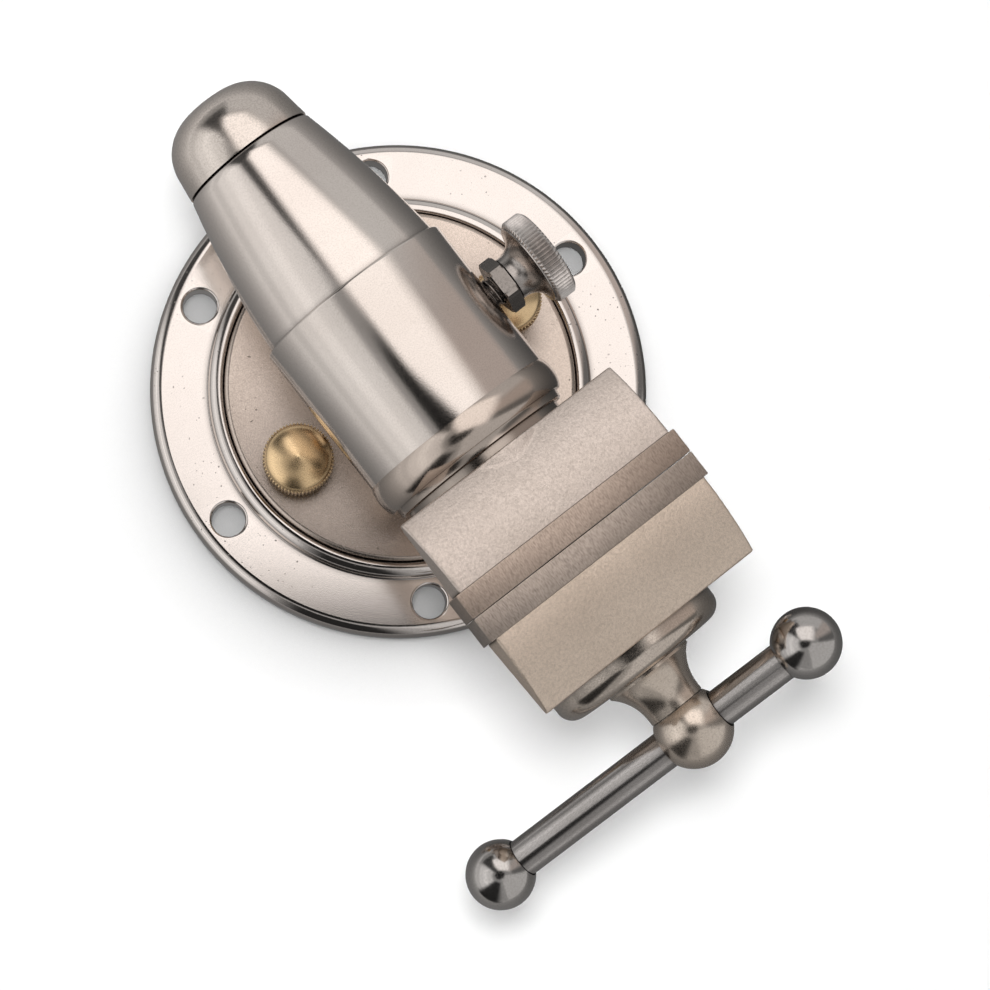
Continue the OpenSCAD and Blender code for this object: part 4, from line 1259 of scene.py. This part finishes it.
def add_table():
    """What the metal mirrors of the ground: dark near the object, paler further out and to one side."""
    points = []
    levels = []
    for radius, level in TABLE_RINGS:
        for k in range(TABLE_SPOKES):
            turn = 2 * math.pi * k / TABLE_SPOKES
            points.append(turn_point(radius, k, TABLE_SPOKES, -FLOOR_GAP / 2))
            levels.append(level * (1 + TABLE_SWING * math.cos(turn - math.radians(TABLE_TOWARD))))
    faces = [tuple(range(TABLE_SPOKES))] + strip_faces(len(TABLE_RINGS), TABLE_SPOKES)
    add_patch("table", points, faces, levels, [1.0] * len(points))


def add_area(name, turn, tilt, distance, size, power):
    """A square soft light towards the object that metal doesn't mirror: the panels stand for it."""
    lamp = bpy.data.lights.new(name, "AREA")
    lamp.shape = "SQUARE"
    lamp.size = size * MM
    lamp.energy = power
    light = link_object(name, lamp)
    way = studio_direction(turn, tilt)
    light.location = (CAM_TARGET + way * distance) * MM
    light.rotation_euler = way.to_track_quat("Z", "Y").to_euler()
    light.visible_glossy = False


def seen_directly(tree):
    """One for camera, glossy and transmission rays, which see the white background."""
    path = add_node(tree, "LightPath", {}).outputs
    first = calculate(tree, "MAXIMUM", path["Is Camera Ray"], path["Is Glossy Ray"])
    return calculate(tree, "MAXIMUM", first, path["Is Transmission Ray"])


def build_world():
    """A soft surround for diffuse light, seen as white."""
    world = bpy.data.worlds.new("studio")
    bpy.context.scene.world = world
    world.use_nodes = True
    tree = world.node_tree
    tree.nodes.clear()
    soft = add_node(tree, "Background", {"Color": (1, 1, 1, 1), "Strength": WORLD_LEVEL})
    white = add_node(tree, "Background", {"Color": (1, 1, 1, 1), "Strength": 1.0})
    mix = add_node(tree, "MixShader", {
        "Fac": seen_directly(tree), 1: soft.outputs["Background"], 2: white.outputs["Background"],
    })
    add_node(tree, "OutputWorld", {"Surface": mix.outputs["Shader"]})


def build_floor():
    """A pale floor, lifted to white by a glow, with the object's soft shadow, cast partly by the lamp and
    painted partly by ambient occlusion.
    """
    h = FLOOR_HALF
    corners = [(x, y, -FLOOR_GAP) for x, y in ((-h, -h), (h, -h), (h, h), (-h, h))]
    floor = make_object("floor", corners, [(0, 1, 2, 3)], UPRIGHT)
    material, tree = new_material("floor_white")
    # painted shadow: ambient occlusion, leaning from one side, darkens the floor's colour and glow near the
    # object
    lean = add_node(tree, "CombineXYZ", dict(zip("XYZ", studio_direction(*FLOOR_LEAN)))).outputs["Vector"]
    near = add_node(tree, "AmbientOcclusion", {"Distance": FLOOR_REACH * MM, "Normal": lean})
    near.samples = FLOOR_SAMPLES
    shade = near.outputs["AO"]
    pale = remap(tree, shade, 0, 1, FLOOR_DIFFUSE * (1 - FLOOR_SHADE), FLOOR_DIFFUSE)
    level = remap(tree, shade, 0, 1, FLOOR_GLOW * (1 - FLOOR_SHADE), FLOOR_GLOW)
    matt = add_node(tree, "BsdfDiffuse", {"Color": pale})
    glow = add_node(tree, "Emission", {"Strength": calculate(tree, "MULTIPLY", seen_directly(tree), level)})
    both = add_node(tree, "AddShader", {0: matt.outputs["BSDF"], 1: glow.outputs["Emission"]})
    add_node(tree, "OutputMaterial", {"Surface": both.outputs["Shader"]})
    floor.data.materials.append(material)


def build_panels():
    """The studio that the metal mirrors: softboxes and the gaps between them."""
    add_panel("tent", turns=(0, 360), tilts=(0, 97), level=0.32, fade=0, radius=TENT_R)
    add_card("top_softbox", SOFTBOX_INNER, SOFTBOX_OUTER, SOFTBOX_H, level=1.28, tint=WARM)
    add_panel("top_spill", turns=(48, 112), tilts=(58, 97), level=0.58)
    add_panel("upper_left_gap", turns=(112, 150), tilts=(10, 78), level=0.05)
    add_panel("left_softbox", turns=(152, 232), tilts=(42, 66), level=0.98, fade=6)
    add_panel("left_softbox_edge", turns=(152, 232), tilts=(27, 44), level=0.78)
    add_panel("left_softbox_fall", turns=(152, 232), tilts=(62, 80), level=0.80, fade=6)
    add_panel("left_spill", turns=(152, 232), tilts=(78, 97), level=0.60, fade=6)
    add_panel("right_softbox", turns=(-75, 6), tilts=(12, 97), level=0.60)
    add_panel("right_spill", turns=(25, 50), tilts=(34, 97), level=0.50, tint=TAUPE, fade=6)
    add_panel("right_gap", turns=(6, 25), tilts=(38, 97), level=0.15)
    add_panel("lower_spill", turns=(232, 285), tilts=(10, 97), level=0.36)
    add_screen("lower_screen", x=-64, y=-182, half_width=62, low=-20, high=330, level=0.015)
    add_camera_card()
    add_table()


def add_camera_card():
    """The dark camera and stand over the object, as a card with a soft edge."""
    inner = []
    outer = []
    for turn, tilt in CAMERA_EDGE:
        r, t = CAM_DISTANCE * math.tan(math.radians(tilt)), math.radians(turn)
        for corners, radius in ((inner, r - CAMERA_FADE), (outer, r + CAMERA_FADE)):
            corners.append((radius * math.cos(t), radius * math.sin(t)))
    add_card("camera_and_stand", inner, outer, CAM_DISTANCE, level=0.01)


def build_studio():
    """The view's settings, the surround, the floor, the panels and the lamp."""
    bpy.context.scene.view_settings.view_transform = "Standard"
    build_world()
    build_floor()
    build_panels()
    add_area("key", turn=96, tilt=9, distance=900, size=210, power=7.4)


def finish_cad_nodes():
    """Finishes for the CAD nodes that stay as they are."""
    looks = (
        (HIDDEN, ("clamp_ring", "pedestal_bolt", "bolt_washer", "locating_pins", "fixed_plate_screws",
                  "guide_screw", "moving_plate_screws", "spindle_keeper", "keeper_pin")),
        (BRASS, ("lock_pad", "lead_nut", "keeper_washer")),
        (BRIGHT, ("slide_tube",)),
    )
    for look, names in looks:
        for name in names:
            mesh = frame["nodes"][name].data
            mesh.materials.clear()
            mesh.materials.append(look)


build_camera()
build_studio()
build_base_ring()
build_turntable()
build_thumb_screw(-1, "left_thumb_screw", "thumb_screw_left")
build_thumb_screw(1, "right_thumb_screw", "thumb_screw_right")
build_barrel()
build_lock_screw()
build_jam_nut()
build_collar()
build_head_tube()
build_tail_cone()
build_nose_cap()
build_jaw("fixed_jaw_cast", FIXED_SEAT, "head", "fixed_jaw", CAST)
build_jaw("moving_jaw_cast", MOVING_SEAT_FRAME, "moving", "moving_jaw", FRONT_CAST)
build_plate("fixed_plate_ground", FIXED_SEAT, "head", "fixed_plate", PLATE)
build_plate("moving_plate_ground", MOVING_SEAT_FRAME, "moving", "moving_plate", FRONT_PLATE)
build_boss()
build_spindle()
build_handle()
finish_cad_nodes()
